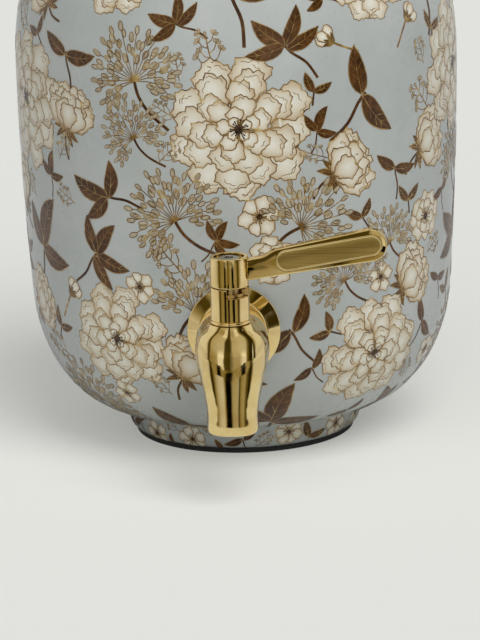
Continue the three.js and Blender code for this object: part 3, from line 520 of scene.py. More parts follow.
# Collar: a polished copper ring soldered over the pot's lip, flared below to lie on the
# shoulder, and rolled to a bead on top, on which the lid sits.
collar_inner, collar_sheet, collar_top = 0.0503, 0.0015, 0.250
collar_bead, collar_flare, bead_start = 0.002, 0.0028, -40
solder_share, collar_steps = 0.3, 192
collar_outer = collar_inner + collar_sheet
flare_radius = collar_outer + collar_flare
solder_line = offset(pot_outline, wall * solder_share)
collar_foot = [point for point in solder_line if collar_inner < point[0] < flare_radius]
collar_outline = [
    *reversed(sorted(collar_foot)),
    *arc((flare_radius, shoulder_height + collar_flare), collar_flare, 270, 180, 8)[1:],
    *arc((collar_inner + collar_bead, collar_top - collar_bead), collar_bead, bead_start, 180, 18),
    (collar_inner, shoulder_height + collar_flare),
]
polished_copper, tree, shader = metal_of(
    "polished_copper", 70, 0.09, 0.24, (0.90, 0.50, 0.34), (0.74, 0.38, 0.25)
)
join(shader, Normal=use_group(tree, turned, Rings=3000, Depth=0.05)["Normal"])
collar = made(spun(collar_outline, collar_steps), "copper_collar")
seated(collar, "dispenser", "polished_copper", polished_copper, "neck_collar")

# Lid: a pressed dome with a short skirt over the collar's bead, enamelled outside.
# A copper sleeve and a silicone ring under it drop into the mouth.
lid_seat = 0.2503
lid_sheet, lid_radius, lid_skirt, lid_rounding, lid_round_steps = 0.001, 0.0573, 0.007, 0.002, 8
dome_radius, dome_rise, dome_shares = 0.0465, 0.013, (0.74, 0.35)
sleeve_radius, sleeve_sheet, sleeve_depth = 0.048, 0.001, 0.0115
ring_low, ring_high, ring_inner, ring_outer, ring_rounding = -0.008, -0.004, 0.0482, 0.0500, 0.0006
knob_hole = 0.0023
facing_down, facing_in = -0.2, -0.3
on_lid = Matrix.Translation((0, 0, lid_seat))
turn_centre = (lid_radius - lid_rounding, lid_sheet - lid_rounding)


def lid_line(inset, dome_inset):
    top = lid_sheet - inset
    dome = bezier(
        (dome_radius - dome_inset, top), ((dome_radius - dome_inset) * dome_shares[0], top + dome_rise),
        ((dome_radius - dome_inset) * dome_shares[1], top + dome_rise), (0, top + dome_rise), 24,
    )
    turn = arc(turn_centre, lid_rounding - inset, 0, 90, lid_round_steps)
    return [(lid_radius - inset, -lid_skirt), *turn, *dome]


lid_outside = lid_line(print_depth, 0)
lid_outline = [point for point in lid_outside if point[0] > knob_hole]
lid_outline += [point for point in reversed(lid_line(lid_sheet, lid_sheet)) if point[0] > knob_hole]
lid = made(spun(lid_outline, collar_steps), "enamelled_lid", on_lid)
seated(lid, "lid", "printed_enamel", enamel, "lid_shell")
lid.data.materials.append(copper)
for face in lid.data.polygons:
    middle = Vector((face.center.x, face.center.y, 0))
    if face.normal.z < facing_down or face.normal.dot(middle.normalized()) < facing_in:
        face.material_index = 1

sleeve_outline = [
    (sleeve_radius - sleeve_sheet, -sleeve_depth), (sleeve_radius, -sleeve_depth),
    (sleeve_radius, 0), (sleeve_radius - sleeve_sheet, 0),
]
sleeve = made(spun(sleeve_outline, collar_steps), "copper_sleeve", on_lid)
seated(sleeve, "lid", "polished_copper", polished_copper, "lid_sleeve")

silicone, tree, shader = finish_of("white_silicone", Subsurface_Weight=0.2, Subsurface_Scale=0.002)
haze = noise(tree, object_place(tree), 180, 3)
join(shader, Base_Color=ramp(tree, haze, [(0.3, (0.66, 0.64, 0.58)), (0.7, (0.76, 0.75, 0.70))]))
wiped(shader, 120, 0.42, 0.6)
ring_outline = [
    (ring_inner, ring_low),
    *arc((ring_outer - ring_rounding, ring_low + ring_rounding), ring_rounding, 270, 360, 4),
    *arc((ring_outer - ring_rounding, ring_high - ring_rounding), ring_rounding, 0, 90, 4),
    (ring_inner, ring_high),
]
ring = made(spun(ring_outline, collar_steps), "silicone_ring", on_lid)
seated(ring, "lid", "white_silicone", silicone, "lid_gasket")

# Knob: turned from solid brass and polished, on the middle of the lid. A slotted steel screw
# with a washer holds it from inside.
knob_base_height, knob_rise = 0.0142, 0.027
knob_radius, knob_base, knob_neck = 0.014, 0.0085, 0.0046
small_steps = 96
foot_shares = ((1.0, 0.0), (1.0, 0.05), (0.72, 0.1), (0.25, 0.17), (0.0, 0.27))
bell_shares = ((0.1, 0.36), (0.5, 0.46), (0.88, 0.6), (1.0, 0.74))
crown_shares = ((0.93, 0.85), (0.72, 0.94), (0.4, 0.985), (0.0, 1.0))


def curve_through(points, steps):
    """A smooth line through the points, with the given number of steps between two of them."""
    line = []
    for i in range(len(points) - 1):
        p0, p1, p2, p3 = (Vector(points[min(max(i + k, 0), len(points) - 1)]) for k in (-1, 0, 1, 2))
        for j in range(steps):
            t = j / steps
            line.append(0.5 * (2 * p1 + (p2 - p0) * t + (2 * p0 - 5 * p1 + 4 * p2 - p3) * t * t
                               + (3 * p1 - p0 - 3 * p2 + p3) * t ** 3))
    return [*line, Vector(points[-1])]


def dressed(material, *names):
    for name in names:
        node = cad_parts[name]
        node.data.materials.clear()
        node.data.materials.append(material)


knob_points = [
    (inner + (outer - inner) * width_share, knob_base_height + knob_rise * rise_share)
    for inner, outer, shares in (
        (knob_neck, knob_base, foot_shares), (knob_neck, knob_radius, bell_shares), (0, knob_radius, crown_shares),
    )
    for width_share, rise_share in shares
]
brass, tree, shader = metal_of("polished_brass", 110, 0.02, 0.07, (0.90, 0.71, 0.34), (0.80, 0.59, 0.25))
join(shader, Normal=bump(tree, noise(tree, object_place(tree), 160, 1), 0.12, 0.0004))
knob_outline = [(0, knob_base_height), *[tuple(point) for point in curve_through(knob_points, 5)]]
knob = made(spun(knob_outline, small_steps, closed=False), "turned_knob", on_lid)
seated(knob, "lid", "polished_brass", brass, "lid_knob")
steel, tree, shader = metal_of("turned_steel", 200, 0.22, 0.38, (0.66, 0.65, 0.62), (0.52, 0.51, 0.49))
dressed(steel, "knob_screw", "knob_washer")

# Tap, clamped through the pot's wall: a conical brass cover plate in front, rubber washers on
# both faces of the wall, and a brass washer and nut that pull the shank tight from inside.
tap_reach = 0.0314
flange_radius, flange_edge, flange_thickness, cone_inner = 0.0194, 0.0016, 0.0052, 0.0142
flange_rounding, cone_rounding, cone_fall = 0.0005, 0.0004, (0.0003, 0.0001)
on_tap = Matrix.Translation((0, -tap_forward, tap_height))
cone_top = flange_thickness - tap_reach
plate_outline = [
    (tap_hole_radius, -tap_reach), (flange_radius, -tap_reach),
    *arc((flange_radius - flange_rounding, flange_edge - tap_reach - flange_rounding), flange_rounding, 0, 55, 5),
    (cone_inner + cone_rounding, cone_top - cone_fall[0]), (cone_inner, cone_top - cone_fall[1]),
    (cone_inner - cone_rounding, cone_top), (tap_hole_radius, cone_top),
]
plate = made(spun(plate_outline, plate_steps), "cover_plate", on_tap @ lying)
seated(plate, "dispenser", "polished_brass", brass, "tap_flange")

plain_brass, tree, shader = metal_of("plain_brass", 150, 0.24, 0.42, (0.78, 0.60, 0.30), (0.58, 0.41, 0.18))
dressed(rubber, "outer_washer", "inner_washer", "bonnet_gasket", "spindle_oring_lower", "spindle_oring_upper")
dressed(plain_brass, "shank_washer", "lock_nut", "valve_rotor", "spindle", "stop_washer")
dressed(silicone, "port_seat", "thrust_washer")

# Tap body: one brass casting, ground and polished. The shank runs out to a round bulge, which
# turns down into the spout; a boss on top takes the bonnet.
bulge_radius, bulge_reach, barrel_rise, spout_drop = 0.0153, 0.012, 0.0126, 0.0346
# Each section: its front end's reach and height, its back end's, and its width.
section_shares = (
    (-0.83, 0.97, -0.83, -0.37, 0.86),
    (-0.64, 0.99, -0.67, -0.44, 0.95),
    (-0.38, 0.98, -0.51, -0.49, 1.0),
    (-0.08, 0.92, -0.41, -0.53, 1.0),
    (0.60, 0.78, -0.37, -0.57, 0.95),
    (0.853, 0.32, -0.35, -0.6, 0.91),
    (0.958, -0.1, -0.34, -0.64, 0.84),
    (0.990, -0.32, -0.33, -0.7, 0.77),
    (1.0, -0.55, -0.32, -0.77, 0.71),
    (1.0, -0.76, -0.32, -0.85, 0.68),
    (1.0, -0.92, -0.33, -0.92, 0.70),
    (0.95, -0.98, -0.31, -0.98, 0.68),
    (0.82, -1.0, -0.26, -1.0, 0.58),
)
front_fullness = 1.35
boss_radius, boss_flare, boss_low, boss_top = 0.0088, 0.0004, -0.004, 0.0114
shank_radius, shank_bore, spout_bore = 0.01048, 0.005, 0.006
shank_back, shank_overlap = 0.0731, 0.002
chamber_radius, chamber_drop, spigot_bore, spigot_floor = 0.0067, 0.007, 0.0076, 0.0055
bead_radius, bead_clearance = 0.0083, 0.002
cut_top, cut_bottom, cut_back = 0.03, -0.05, -0.08
casting_voxel, overrun = 0.00045, 0.001
casting_smoothing = 30


def on_section(out_share, up_share):
    reach = tap_reach if out_share < 0 else bulge_reach
    rise = spout_drop if up_share < 0 else barrel_rise
    return Vector((0, -reach * out_share, rise * up_share))


casting_shape = bmesh.new()
previous = None
for front_out, front_up, back_out, back_up, width_share in curve_through(section_shares, 4):
    front, back = on_section(front_out, front_up), on_section(back_out, back_up)
    centre, half = (front + back) / 2, (front - back) / 2
    ring = bmesh.ops.create_circle(casting_shape, segments=56, radius=1)["verts"]
    for vert in ring:
        x, y = vert.co.x, vert.co.y
        fullness = front_fullness if x > 0 else 1.0
        swell = (abs(x) ** (2 * fullness) + abs(y) ** (2 * fullness)) ** (-0.5 / fullness)
        vert.co = centre + half * (x * swell) + Vector((bulge_radius * width_share * y * swell, 0, 0))
    edges = list({edge for vert in ring for edge in vert.link_edges})
    if previous is None:
        bmesh.ops.edgeloop_fill(casting_shape, edges=edges)
    else:
        bmesh.ops.bridge_loops(casting_shape, edges=previous + edges)
    previous = edges
bmesh.ops.edgeloop_fill(casting_shape, edges=previous)
bmesh.ops.recalc_face_normals(casting_shape, faces=casting_shape.faces)
casting = made(casting_shape, "tap_casting")
flare_out = boss_radius + boss_flare
boss_outline = [
    (0, boss_low), (flare_out, boss_low), (flare_out, boss_top - boss_flare * 2),
    *arc((flare_out, boss_top - boss_flare), boss_flare, 270, 180, 8),
    (boss_radius, boss_top + overrun), (0, boss_top + overrun),
]
carved(casting, [made(spun(boss_outline, small_steps, closed=False), "boss")], "UNION")
fused = casting.modifiers.new("fused", "REMESH")
fused.mode = "VOXEL"
fused.voxel_size = casting_voxel
settled(casting)
casting_shape = bmesh.new()
casting_shape.from_mesh(casting.data)
for _ in range(casting_smoothing):
    bmesh.ops.smooth_vert(
        casting_shape, verts=casting_shape.verts, factor=0.5, use_axis_x=True, use_axis_y=True, use_axis_z=True
    )
casting_shape.to_mesh(casting.data)
casting_shape.free()
shank = rod(shank_radius, shank_back - tap_forward, cone_top + shank_overlap, lying, small_steps)
carved(casting, [shank], "UNION")
carved(casting, [
    rod(bead_radius + bead_clearance, boss_top, cut_top),
    rod(spigot_bore, spigot_floor, cut_top),
    rod(chamber_radius, -chamber_drop, cut_top),
    rod(spout_bore, cut_bottom, -chamber_drop + overrun),
    rod(shank_bore, cut_back, 0, lying),
])
casting.data.transform(on_tap)
seated(casting, "dispenser", "polished_brass", brass, "tap_body", sharp=40)

# Bonnet: a turned brass collar screwed into the boss, with a bead at its foot and a notch in
# its rim, in which the stop washer's lug runs through a quarter turn.
bonnet_radius, bonnet_bead_height, bonnet_seat, bonnet_top = 0.00795, 0.0015, 0.0115, 0.0268
bonnet_recess_radius, bonnet_recess_depth, bonnet_edge = 0.0062, 0.0044, 0.0003
spindle_bore = 0.0042
notch_inner, notch_outer, notch_overrun = 0.004, 0.012, 0.002
notch_depth, notch_start, notch_turn = 0.0038, -99, 108
bead_top = bonnet_seat + bonnet_bead_height
bead_half = bonnet_bead_height / 2
bonnet_outline = [
    (spindle_bore, bonnet_seat), (spindle_bore, bonnet_top - bonnet_recess_depth),
    (bonnet_recess_radius, bonnet_top - bonnet_recess_depth), (bonnet_recess_radius, bonnet_top),
    *arc((bonnet_radius - bonnet_edge, bonnet_top - bonnet_edge), bonnet_edge, 90, 0, 4),
    (bonnet_radius, bead_top + bonnet_edge), (bonnet_radius - bonnet_edge, bead_top),
    *arc((bead_radius - bead_half, bonnet_seat + bead_half), bead_half, 80, -80, 10),
]
bonnet = made(spun(bonnet_outline, small_steps), "turned_bonnet")
notch_shape = bmesh.new()
notch_floor, notch_roof = bonnet_top - notch_depth, bonnet_top + notch_overrun
corners = (
    (notch_inner, notch_floor), (notch_outer, notch_floor), (notch_outer, notch_roof), (notch_inner, notch_roof),
)
start = Matrix.Rotation(math.radians(notch_start), 4, "Z")
points = [notch_shape.verts.new(start @ Vector((radius, 0, height))) for radius, height in corners]
first = notch_shape.faces.new(points)
bmesh.ops.spin(
    notch_shape, geom=points + list(notch_shape.edges) + [first], cent=(0, 0, 0), axis=(0, 0, 1), dvec=(0, 0, 0),
    angle=math.radians(notch_turn), steps=36, use_merge=False, use_duplicate=False,
)
bmesh.ops.recalc_face_normals(notch_shape, faces=notch_shape.faces)
carved(bonnet, [made(notch_shape, "notch")])
bonnet.data.transform(on_tap)
seated(bonnet, "dispenser", "polished_brass", brass, "bonnet")

# Lever: hub and flat upright arm in one brass casting, square-bored over the spindle's head.
# The arm's faces are dished for a plate each, and its edges are rounded by polishing.
hub_radius, hub_height, hub_low, hub_edge = 0.0079, 0.0124, 0.0271, 0.0005
hub_recess_radius, hub_recess_depth = 0.0061, 0.0028
lever_slope = math.radians(9.5)
lever_length, tip_half, root_half, lever_thick = 0.0653, 0.0067, 0.0054, 0.005
lever_axis_height, neck_top = hub_low + 0.00655, 0.0033
neck_shares, root_share = (1.5, 2.6, 0.9), 0.85
lever_rounding = 0.0006
rim_width, rim_fall = 0.0019, 0.00026
plate_half, plate_start, plate_margin, dish_depth = 0.0047, 0.0193, 0.0017, 0.0007
plate_gap = 0.00015
square_half, square_depth, square_roof = 0.00295, 0.008, 0.002
screw_hole_radius, screw_hole_floor = 0.0024, 0.005
hub_top = hub_low + hub_height
recess_floor = hub_top - hub_recess_depth


def on_arm(along, above):
    return Vector((
        along * math.cos(lever_slope) - above * math.sin(lever_slope),
        0,
        lever_axis_height + along * math.sin(lever_slope) + above * math.cos(lever_slope),
    ))


def slab(outline, front, back, rounding=0.0, segments=4):
    shape = bmesh.new()
    points = [shape.verts.new((point.x, front, point.z)) for point in outline]
    face = shape.faces.new(points)
    grown = bmesh.ops.extrude_face_region(shape, geom=[face])["geom"]
    moved = [item for item in grown if isinstance(item, bmesh.types.BMVert)]
    bmesh.ops.translate(shape, vec=(0, back - front, 0), verts=moved)
    bmesh.ops.recalc_face_normals(shape, faces=shape.faces)
    if rounding:
        rims = [edge for edge in shape.edges if abs(edge.verts[0].co.y - edge.verts[1].co.y) < 1e-6]
        bmesh.ops.bevel(
            shape, geom=rims, offset=rounding, offset_type="OFFSET", segments=segments, profile=0.5,
            affect="EDGES", material=-1, clamp_overlap=True,
        )
    return shape


def capsule(half_width):
    low_end, high_end = plate_start + plate_half, lever_length - plate_margin - plate_half
    points = [*arc((high_end, 0), half_width, -90, 90, 20), *arc((low_end, 0), half_width, 90, 270, 20)]
    return [on_arm(along, above) for along, above in points]


neck_start, neck_end = (hub_radius * share for share in neck_shares[:2])
neck_middle = (neck_start + neck_end) / 2
arm_points = [
    (hub_radius * root_share, -root_half), *arc((lever_length - tip_half, 0), tip_half, -90, 90, 24),
    *bezier(
        (neck_end, root_half), (neck_middle, root_half * neck_shares[2]), (neck_middle, neck_top),
        (neck_start, neck_top), 10,
    ),
    (hub_radius * root_share, neck_top),
]
hub_outline = [
    (0, hub_low), (hub_radius - hub_edge, hub_low),
    *arc((hub_radius - hub_edge, hub_low + hub_edge), hub_edge, 270, 360, 4)[1:],
    *arc((hub_radius - hub_edge, hub_top - hub_edge), hub_edge, 0, 90, 4),
    *arc((hub_recess_radius + hub_edge / 2, hub_top - hub_edge / 2), hub_edge / 2, 90, 180, 3),
    (hub_recess_radius, recess_floor), (0, recess_floor),
]
arm_face = lever_thick / 2 - rim_fall
arm_shape = slab([on_arm(along, above) for along, above in arm_points], -arm_face, arm_face, lever_rounding)
for side_sign in (-1, 1):
    cheek = [face for face in arm_shape.faces if face.normal.y * side_sign > 0.999]
    bmesh.ops.inset_region(arm_shape, faces=cheek, thickness=rim_width, use_even_offset=True)
    cheek_verts = list({vert for face in cheek for vert in face.verts})
    bmesh.ops.translate(arm_shape, vec=(0, rim_fall * side_sign, 0), verts=cheek_verts)
lever = made(spun(hub_outline, small_steps, closed=False), "lever_casting")
carved(lever, [made(arm_shape, "arm")], "UNION")
square_shape = bmesh.new()
bmesh.ops.create_cube(square_shape, size=1)
bmesh.ops.scale(square_shape, vec=(square_half * 2, square_half * 2, square_depth), verts=square_shape.verts)
square_middle = recess_floor - square_roof - square_depth / 2
bmesh.ops.translate(square_shape, vec=(0, 0, square_middle), verts=square_shape.verts)
dish_floor = lever_thick / 2 - dish_depth
carved(lever, [
    made(slab(capsule(plate_half), -lever_thick, -dish_floor), "front_dish"),
    made(slab(capsule(plate_half), dish_floor, lever_thick), "back_dish"),
    made(square_shape, "square_bore"),
    rod(screw_hole_radius, hub_low + screw_hole_floor, hub_top),
])
lever.data.transform(on_tap)
seated(lever, "tap_lever", "polished_brass", brass, "lever_handle", even=True)

# Plates: thin brass strips pressed into the arm's dishes, brushed along the arm, each with a
# raised and polished bead round its edge.
bead_width, bead_rise, plate_thick = 0.0003, 0.00022, 0.0004
grain_scale = (25, 1, 2400)
brushed, tree, shader = finish_of("brushed_brass", Metallic=1.0)
along_arm = add_node(
    tree, "Mapping", {"Vector": object_place(tree), "Rotation": (0, lever_slope, 0), "Scale": grain_scale}
)
grain = noise(tree, along_arm, 1, 5, 0.6)
join(
    shader, Base_Color=ramp(tree, grain, [(0.3, (0.36, 0.25, 0.07)), (0.7, (0.58, 0.43, 0.15))]),
    Roughness=between(tree, grain, 0, 1, 0.30, 0.48), Normal=bump(tree, grain, 0.35, 0.0001),
)
bead_brass, tree, shader = metal_of("bead_brass", 140, 0.26, 0.38, (0.98, 0.80, 0.40))
plate_floor = dish_floor + plate_gap / 2
for name, replaced, side_sign in (("front_plate", "lever_inlay_front", -1), ("back_plate", "lever_inlay_back", 1)):
    shape = slab(capsule(plate_half - plate_gap), plate_floor, plate_floor + plate_thick)
    outer = [face for face in shape.faces if face.normal.y > 0.9]
    bead = [
        bmesh.ops.inset_region(shape, faces=outer, thickness=bead_width, use_even_offset=True)["faces"]
        for _ in range(3)
    ]
    crest = {vert for face in bead[1] for vert in face.verts}
    bmesh.ops.translate(shape, vec=(0, bead_rise, 0), verts=list(crest))
    for face in [*bead[0], *bead[1], *bead[2]]:
        face.material_index = 1
    if side_sign < 0:
        bmesh.ops.scale(shape, vec=(1, -1, 1), verts=shape.verts)
    bmesh.ops.recalc_face_normals(shape, faces=shape.faces)
    strip = seated(made(shape, name, on_tap), "tap_lever", "brushed_brass", brushed, replaced, sharp=80)
    strip.data.materials.append(bead_brass)

# Lever screw: steel, with a hexagon socket in its round head. It clamps the hub to the spindle,
# over a bright washer in the hub's recess.
screw_radius, screw_head, screw_head_rise, screw_end = 0.002, 0.0043, 0.0015, 0.0264
screw_rounding, washer_rounding, washer_gap = 0.0004, 0.0002, 0.0002
screw_washer_radius, screw_washer_thick = 0.0057, 0.0007
washer_steps, screw_steps = 64, 48
socket_radius, socket_depth, socket_sides = 0.00215, 0.0012, 6
head_low = recess_floor + screw_washer_thick
head_top = head_low + screw_head_rise
washer_outline = [
    (screw_radius + washer_gap, recess_floor), (screw_washer_radius, recess_floor),
    *arc((screw_washer_radius - washer_rounding, head_low - washer_rounding), washer_rounding, 0, 90, 3),
    (screw_radius + washer_gap, head_low),
]
washer = made(spun(washer_outline, washer_steps), "bright_washer", on_tap)
seated(washer, "tap_lever", "steel", steel, "handle_screw_washer")
screw_outline = [
    (0, screw_end), (screw_radius, screw_end), (screw_radius, head_low), (screw_head, head_low),
    *arc((screw_head - screw_rounding, head_top - screw_rounding), screw_rounding, 0, 90, 4), (0, head_top),
]
screw = made(spun(screw_outline, screw_steps, closed=False), "socket_screw")
carved(screw, [rod(socket_radius, head_top - socket_depth, head_top + overrun, steps=socket_sides)])
screw.data.transform(on_tap)
seated(screw, "tap_lever", "steel", steel, "handle_screw")

# Print: a floral decal fired under the glaze, in cream, gold-brown and dark brown, all round the
# pot and on its foot and lid. It is a made-up pattern of the size and colours of the real one.
# Motifs are drawn flat in millimetres (x along the print, y up, z how far it stands off).
print_floor, print_layer = 0.065, 0.028
petal_kind, line_kind, leaf_kind, seed_kind, dark_kind = range(5)
line_width, stem_width = 0.46, 0.85
large_rows = ((62, 5, 26, 0.105), (166, 5, 31, 0.010), (222, 5, 23, 0.120))
# Each filler: the kind of motif, its radius, and how many are tried.
filler = (
    ("umbel", 17.5, 14), ("cup", 14.0, 13), ("spray", 21.0, 16), ("spray", 16.0, 18), ("umbel", 12.5, 8),
    ("medium", 11.5, 10), ("small", 9.5, 14), ("spray", 12.0, 26), ("bud", 10.5, 16), ("sprig", 13.0, 34),
    ("small", 7.5, 10), ("spray", 9.0, 30), ("sprig", 9.0, 70), ("leaf_pair", 7.0, 70), ("sprig", 6.0, 90),
)
foot_filler = (
    ("small", 7.0, 9), ("spray", 8.5, 14), ("leaf_pair", 7.0, 16), ("sprig", 5.0, 24), ("leaf_pair", 4.5, 30),
)
lid_filler = (
    ("medium", 12.0, 5), ("spray", 9.5, 6), ("bud", 7.0, 5), ("sprig", 6.5, 8), ("leaf_pair", 5.5, 14),
    ("sprig", 4.5, 16),
)
print_low, print_high = 16, 266
closeness, tries = 0.86, 90
cells = 5
# How far the print stays clear of each surface's two ends, and how far its motifs' middles do.
pot_edges, foot_edges, lid_edges = (1, 2), (0.3, 0.4), (1, 1)
foot_gap, lid_gap, knob_clear = 1, 6, 0.001
dot_place = (0.5, 0.75)
seed_of_print = 11
chance = random.Random(seed_of_print)


def flattened(shape):
    mesh = bpy.data.meshes.new("motif")
    shape.to_mesh(mesh)
    shape.free()
    return mesh


def painted(shape, kind, at=None):
    """Gives each face its paint and its place in the petal, which the paint's streaks follow."""
    uv = shape.loops.layers.uv.new("print")
    for face in shape.faces:
        face.material_index = kind
        for loop in face.loops:
            loop[uv].uv = at or (loop.vert.co.x * 0.5 + 0.5, loop.vert.co.y * 0.5 + 0.5)


def rimmed(shape, rim, even):
    if rim:
        border = bmesh.ops.inset_region(
            shape, faces=shape.faces, thickness=rim, use_even_offset=even, use_boundary=True
        )["faces"]
        for face in border:
            face.material_index = line_kind
    return flattened(shape)


def grid_piece(columns, rows, place, kind, rim=0.0):
    """A patch whose corners are set by place(x, y), with x and y from -1 to 1, and a gold rim."""
    shape = bmesh.new()
    bmesh.ops.create_grid(shape, x_segments=columns, y_segments=rows, size=1)
    painted(shape, kind)
    for vert in shape.verts:
        vert.co = (*place(vert.co.x, vert.co.y), 0)
    return rimmed(shape, rim, even=True)


def opened(mesh):
    shape = bmesh.new()
    shape.from_mesh(mesh)
    return shape


def stamp(target, mesh, x=0.0, y=0.0, turn=0.0, size=1.0, layer=0.0, lift=0.0):
    first = len(target.verts)
    target.from_mesh(mesh)
    target.verts.ensure_lookup_table()
    place = Matrix.Translation((x, y, print_layer * layer + lift)) @ Matrix.Rotation(turn, 4, "Z")
    place @= Matrix.Diagonal((size, size, 1, 1))
    bmesh.ops.transform(target, matrix=place, verts=target.verts[first:])


def stem(points, width=stem_width, kind=line_kind, steps=4):
    line = curve_through([Vector((x, y, 0)) for x, y in points], steps)
    count = len(line) - 1

    def place(x, y):
        i = min(int((y + 1) / 2 * count + 1e-6), count)
        along = (line[min(i + 1, count)] - line[max(i - 1, 0)]).normalized()
        return line[i].x - along.y * x * width / 2, line[i].y + along.x * x * width / 2

    return grid_piece(1, count, place, kind)


def on_stalk(points, width, kind=leaf_kind, lift=-0.01):
    """A new motif that starts with its stalk, which lies a little under the rest."""
    shape = bmesh.new()
    stamp(shape, stem(points, width, kind), lift=lift)
    return shape


def petal(length, width, rim=line_width, cells_across=7, ruffle=0.07, base=0.42, creases=0):
    waves, phase = chance.choice((5, 6, 7)), chance.uniform(0, math.tau)
    lean = chance.uniform(-0.08, 0.08)

    def petal_point(round_x, round_y):
        out = math.hypot(round_x, round_y)
        turn = math.atan2(round_y, round_x)
        ripple = out ** 3 * math.sin(waves * turn + phase) + 0.7 * out ** 5 * math.sin(15 * turn + phase)
        swell = 1 + ruffle * ripple
        along = (round_y * swell + 1) / 2
        taper = base + (1 - base) * math.sin(min(max(along, 0), 1) * math.pi / 2) ** 1.2
        return round_x * swell * width / 2 * taper + lean * along * length, along * length

    def place(x, y):
        return petal_point(x * math.sqrt(1 - y * y / 2), y * math.sqrt(1 - x * x / 2))

    shape = opened(grid_piece(cells_across, cells_across, place, petal_kind, rim))
    for _ in range(creases):
        out, start, sweep = chance.uniform(0.55, 0.82), chance.uniform(0.15, 1.7), chance.uniform(0.7, 1.3)
        crease = []
        for k in range(6):
            turn = start + sweep * k / 5
            near = out + 0.05 * math.sin(k * 2.1 + phase)
            crease.append(petal_point(math.cos(turn) * near, math.sin(turn) * near))
        stamp(shape, stem(crease, line_width * 0.62, steps=2), layer=0.3)
    return flattened(shape)


def leaf(length, width, bend, rows=10):
    def middle(along):
        return bend * math.sin(along * math.pi * 0.7) * length

    def blade(x, y):
        along = (y + 1) / 2
        swell = math.sin(math.pi * along ** 0.75) ** 0.8 if 0 < along < 1 else 0
        return x * (swell * width / 2 + 0.12) + middle(along), along * length

    def rib(x, y):
        along = (y + 1) / 2 * 0.93
        return x * line_width * 0.42 * (1.15 - along) + middle(along), along * length

    shape = opened(grid_piece(4, rows, blade, leaf_kind, line_width * 0.9))
    stamp(shape, grid_piece(1, rows, rib, line_kind), layer=0.4)
    for side_sign in (-1, 1):
        for share in (0.3, 0.5, 0.68):
            reach = width * 0.34 * math.sin(math.pi * share ** 0.75)

            def vein(x, y):
                along = (y + 1) / 2 * reach
                return middle(share) + side_sign * along, share * length + along * 1.1 + x * line_width * 0.26

            stamp(shape, grid_piece(1, 2, vein, line_kind), layer=0.4)
    return flattened(shape)


def dot(radius, kind, rim=0.0, sides=10, stretch=1.0):
    shape = bmesh.new()
    bmesh.ops.create_circle(shape, cap_ends=True, segments=sides, radius=radius)
    painted(shape, kind, dot_place)
    bmesh.ops.scale(shape, vec=(1, stretch, 1), verts=shape.verts)
    return rimmed(shape, rim, even=False)


def stamens(shape, count, reach, thread_width, tip, layer):
    """Dark threads round a flower's middle, each with a small tip."""
    for j in range(count):
        angle, out = math.tau * j / count + chance.uniform(-0.1, 0.1), reach()
        end = (math.cos(angle) * out, math.sin(angle) * out)
        stamp(shape, stem([(0, 0), end], thread_width, dark_kind, 1), layer=layer)
        stamp(shape, tip(j), *end, layer=layer + 0.3)


def large_bloom():
    """A full flower of unit radius 30: rings of overlapping petals, the inner ones on top."""
    shape = bmesh.new()
    # Each ring: how many petals, how far out they start, their length and width, cells and creases.
    rings = (
        (9, 11.5, 18.5, 18, 10, 2), (8, 8.0, 17.0, 15.5, 10, 2), (7, 5.0, 14.5, 13.5, 8, 1),
        (6, 2.6, 12.0, 11.0, 7, 1), (5, 1.2, 8.6, 8.0, 6, 0), (4, 0.4, 5.4, 5.2, 5, 0),
    )
    stamp(shape, dot(17, petal_kind, sides=24), layer=0.9)
    for k, (count, start_out, length, width, cells_across, creases) in enumerate(rings):
        turn = chance.uniform(0, math.tau)
        for j in range(count):
            angle = turn + math.tau * j / count + chance.uniform(-0.12, 0.12)
            long = length * chance.uniform(0.9, 1.06)
            wide = width * chance.uniform(0.92, 1.12)
            mesh = petal(long, wide, cells_across=cells_across, ruffle=0.085, creases=creases)
            layer = k * 1.25 + (j % 2) * 0.5 + j * 0.02
            stamp(shape, mesh, -math.sin(angle) * start_out, math.cos(angle) * start_out, angle, layer=layer)
    stamens(
        shape, 18, lambda: chance.uniform(2.6, 4.2), line_width * 0.9,
        lambda j: dot(0.42, dark_kind if j % 3 else line_kind, sides=6), 7.4,
    )
    stamp(shape, dot(1.7, dark_kind, sides=9, stretch=1.3), layer=7.9)
    return flattened(shape)


def open_bloom(count, radius, rings=1):
    shape = bmesh.new()
    for k in range(rings):
        for j in range(count):
            angle = math.tau * (j + 0.5 * k) / count + chance.uniform(-0.1, 0.1)
            long, wide = radius * (1 - 0.3 * k) * chance.uniform(0.88, 1.0), radius * 0.92 * (1 - 0.28 * k)
            mesh = petal(long, wide, cells_across=5, ruffle=0.10, base=0.3, rim=line_width * 0.85)
            stamp(shape, mesh, turn=angle, layer=k * 1.6 + (j % 2) * 0.6 + j * 0.03)
    stamens(
        shape, 14, lambda: radius * chance.uniform(0.24, 0.36), line_width * 0.6,
        lambda j: dot(radius * 0.035 + 0.12, line_kind, sides=6), 3.4,
    )
    stamp(shape, dot(radius * 0.16, dark_kind, rim=0.2, sides=9), layer=3.9)
    return flattened(shape)


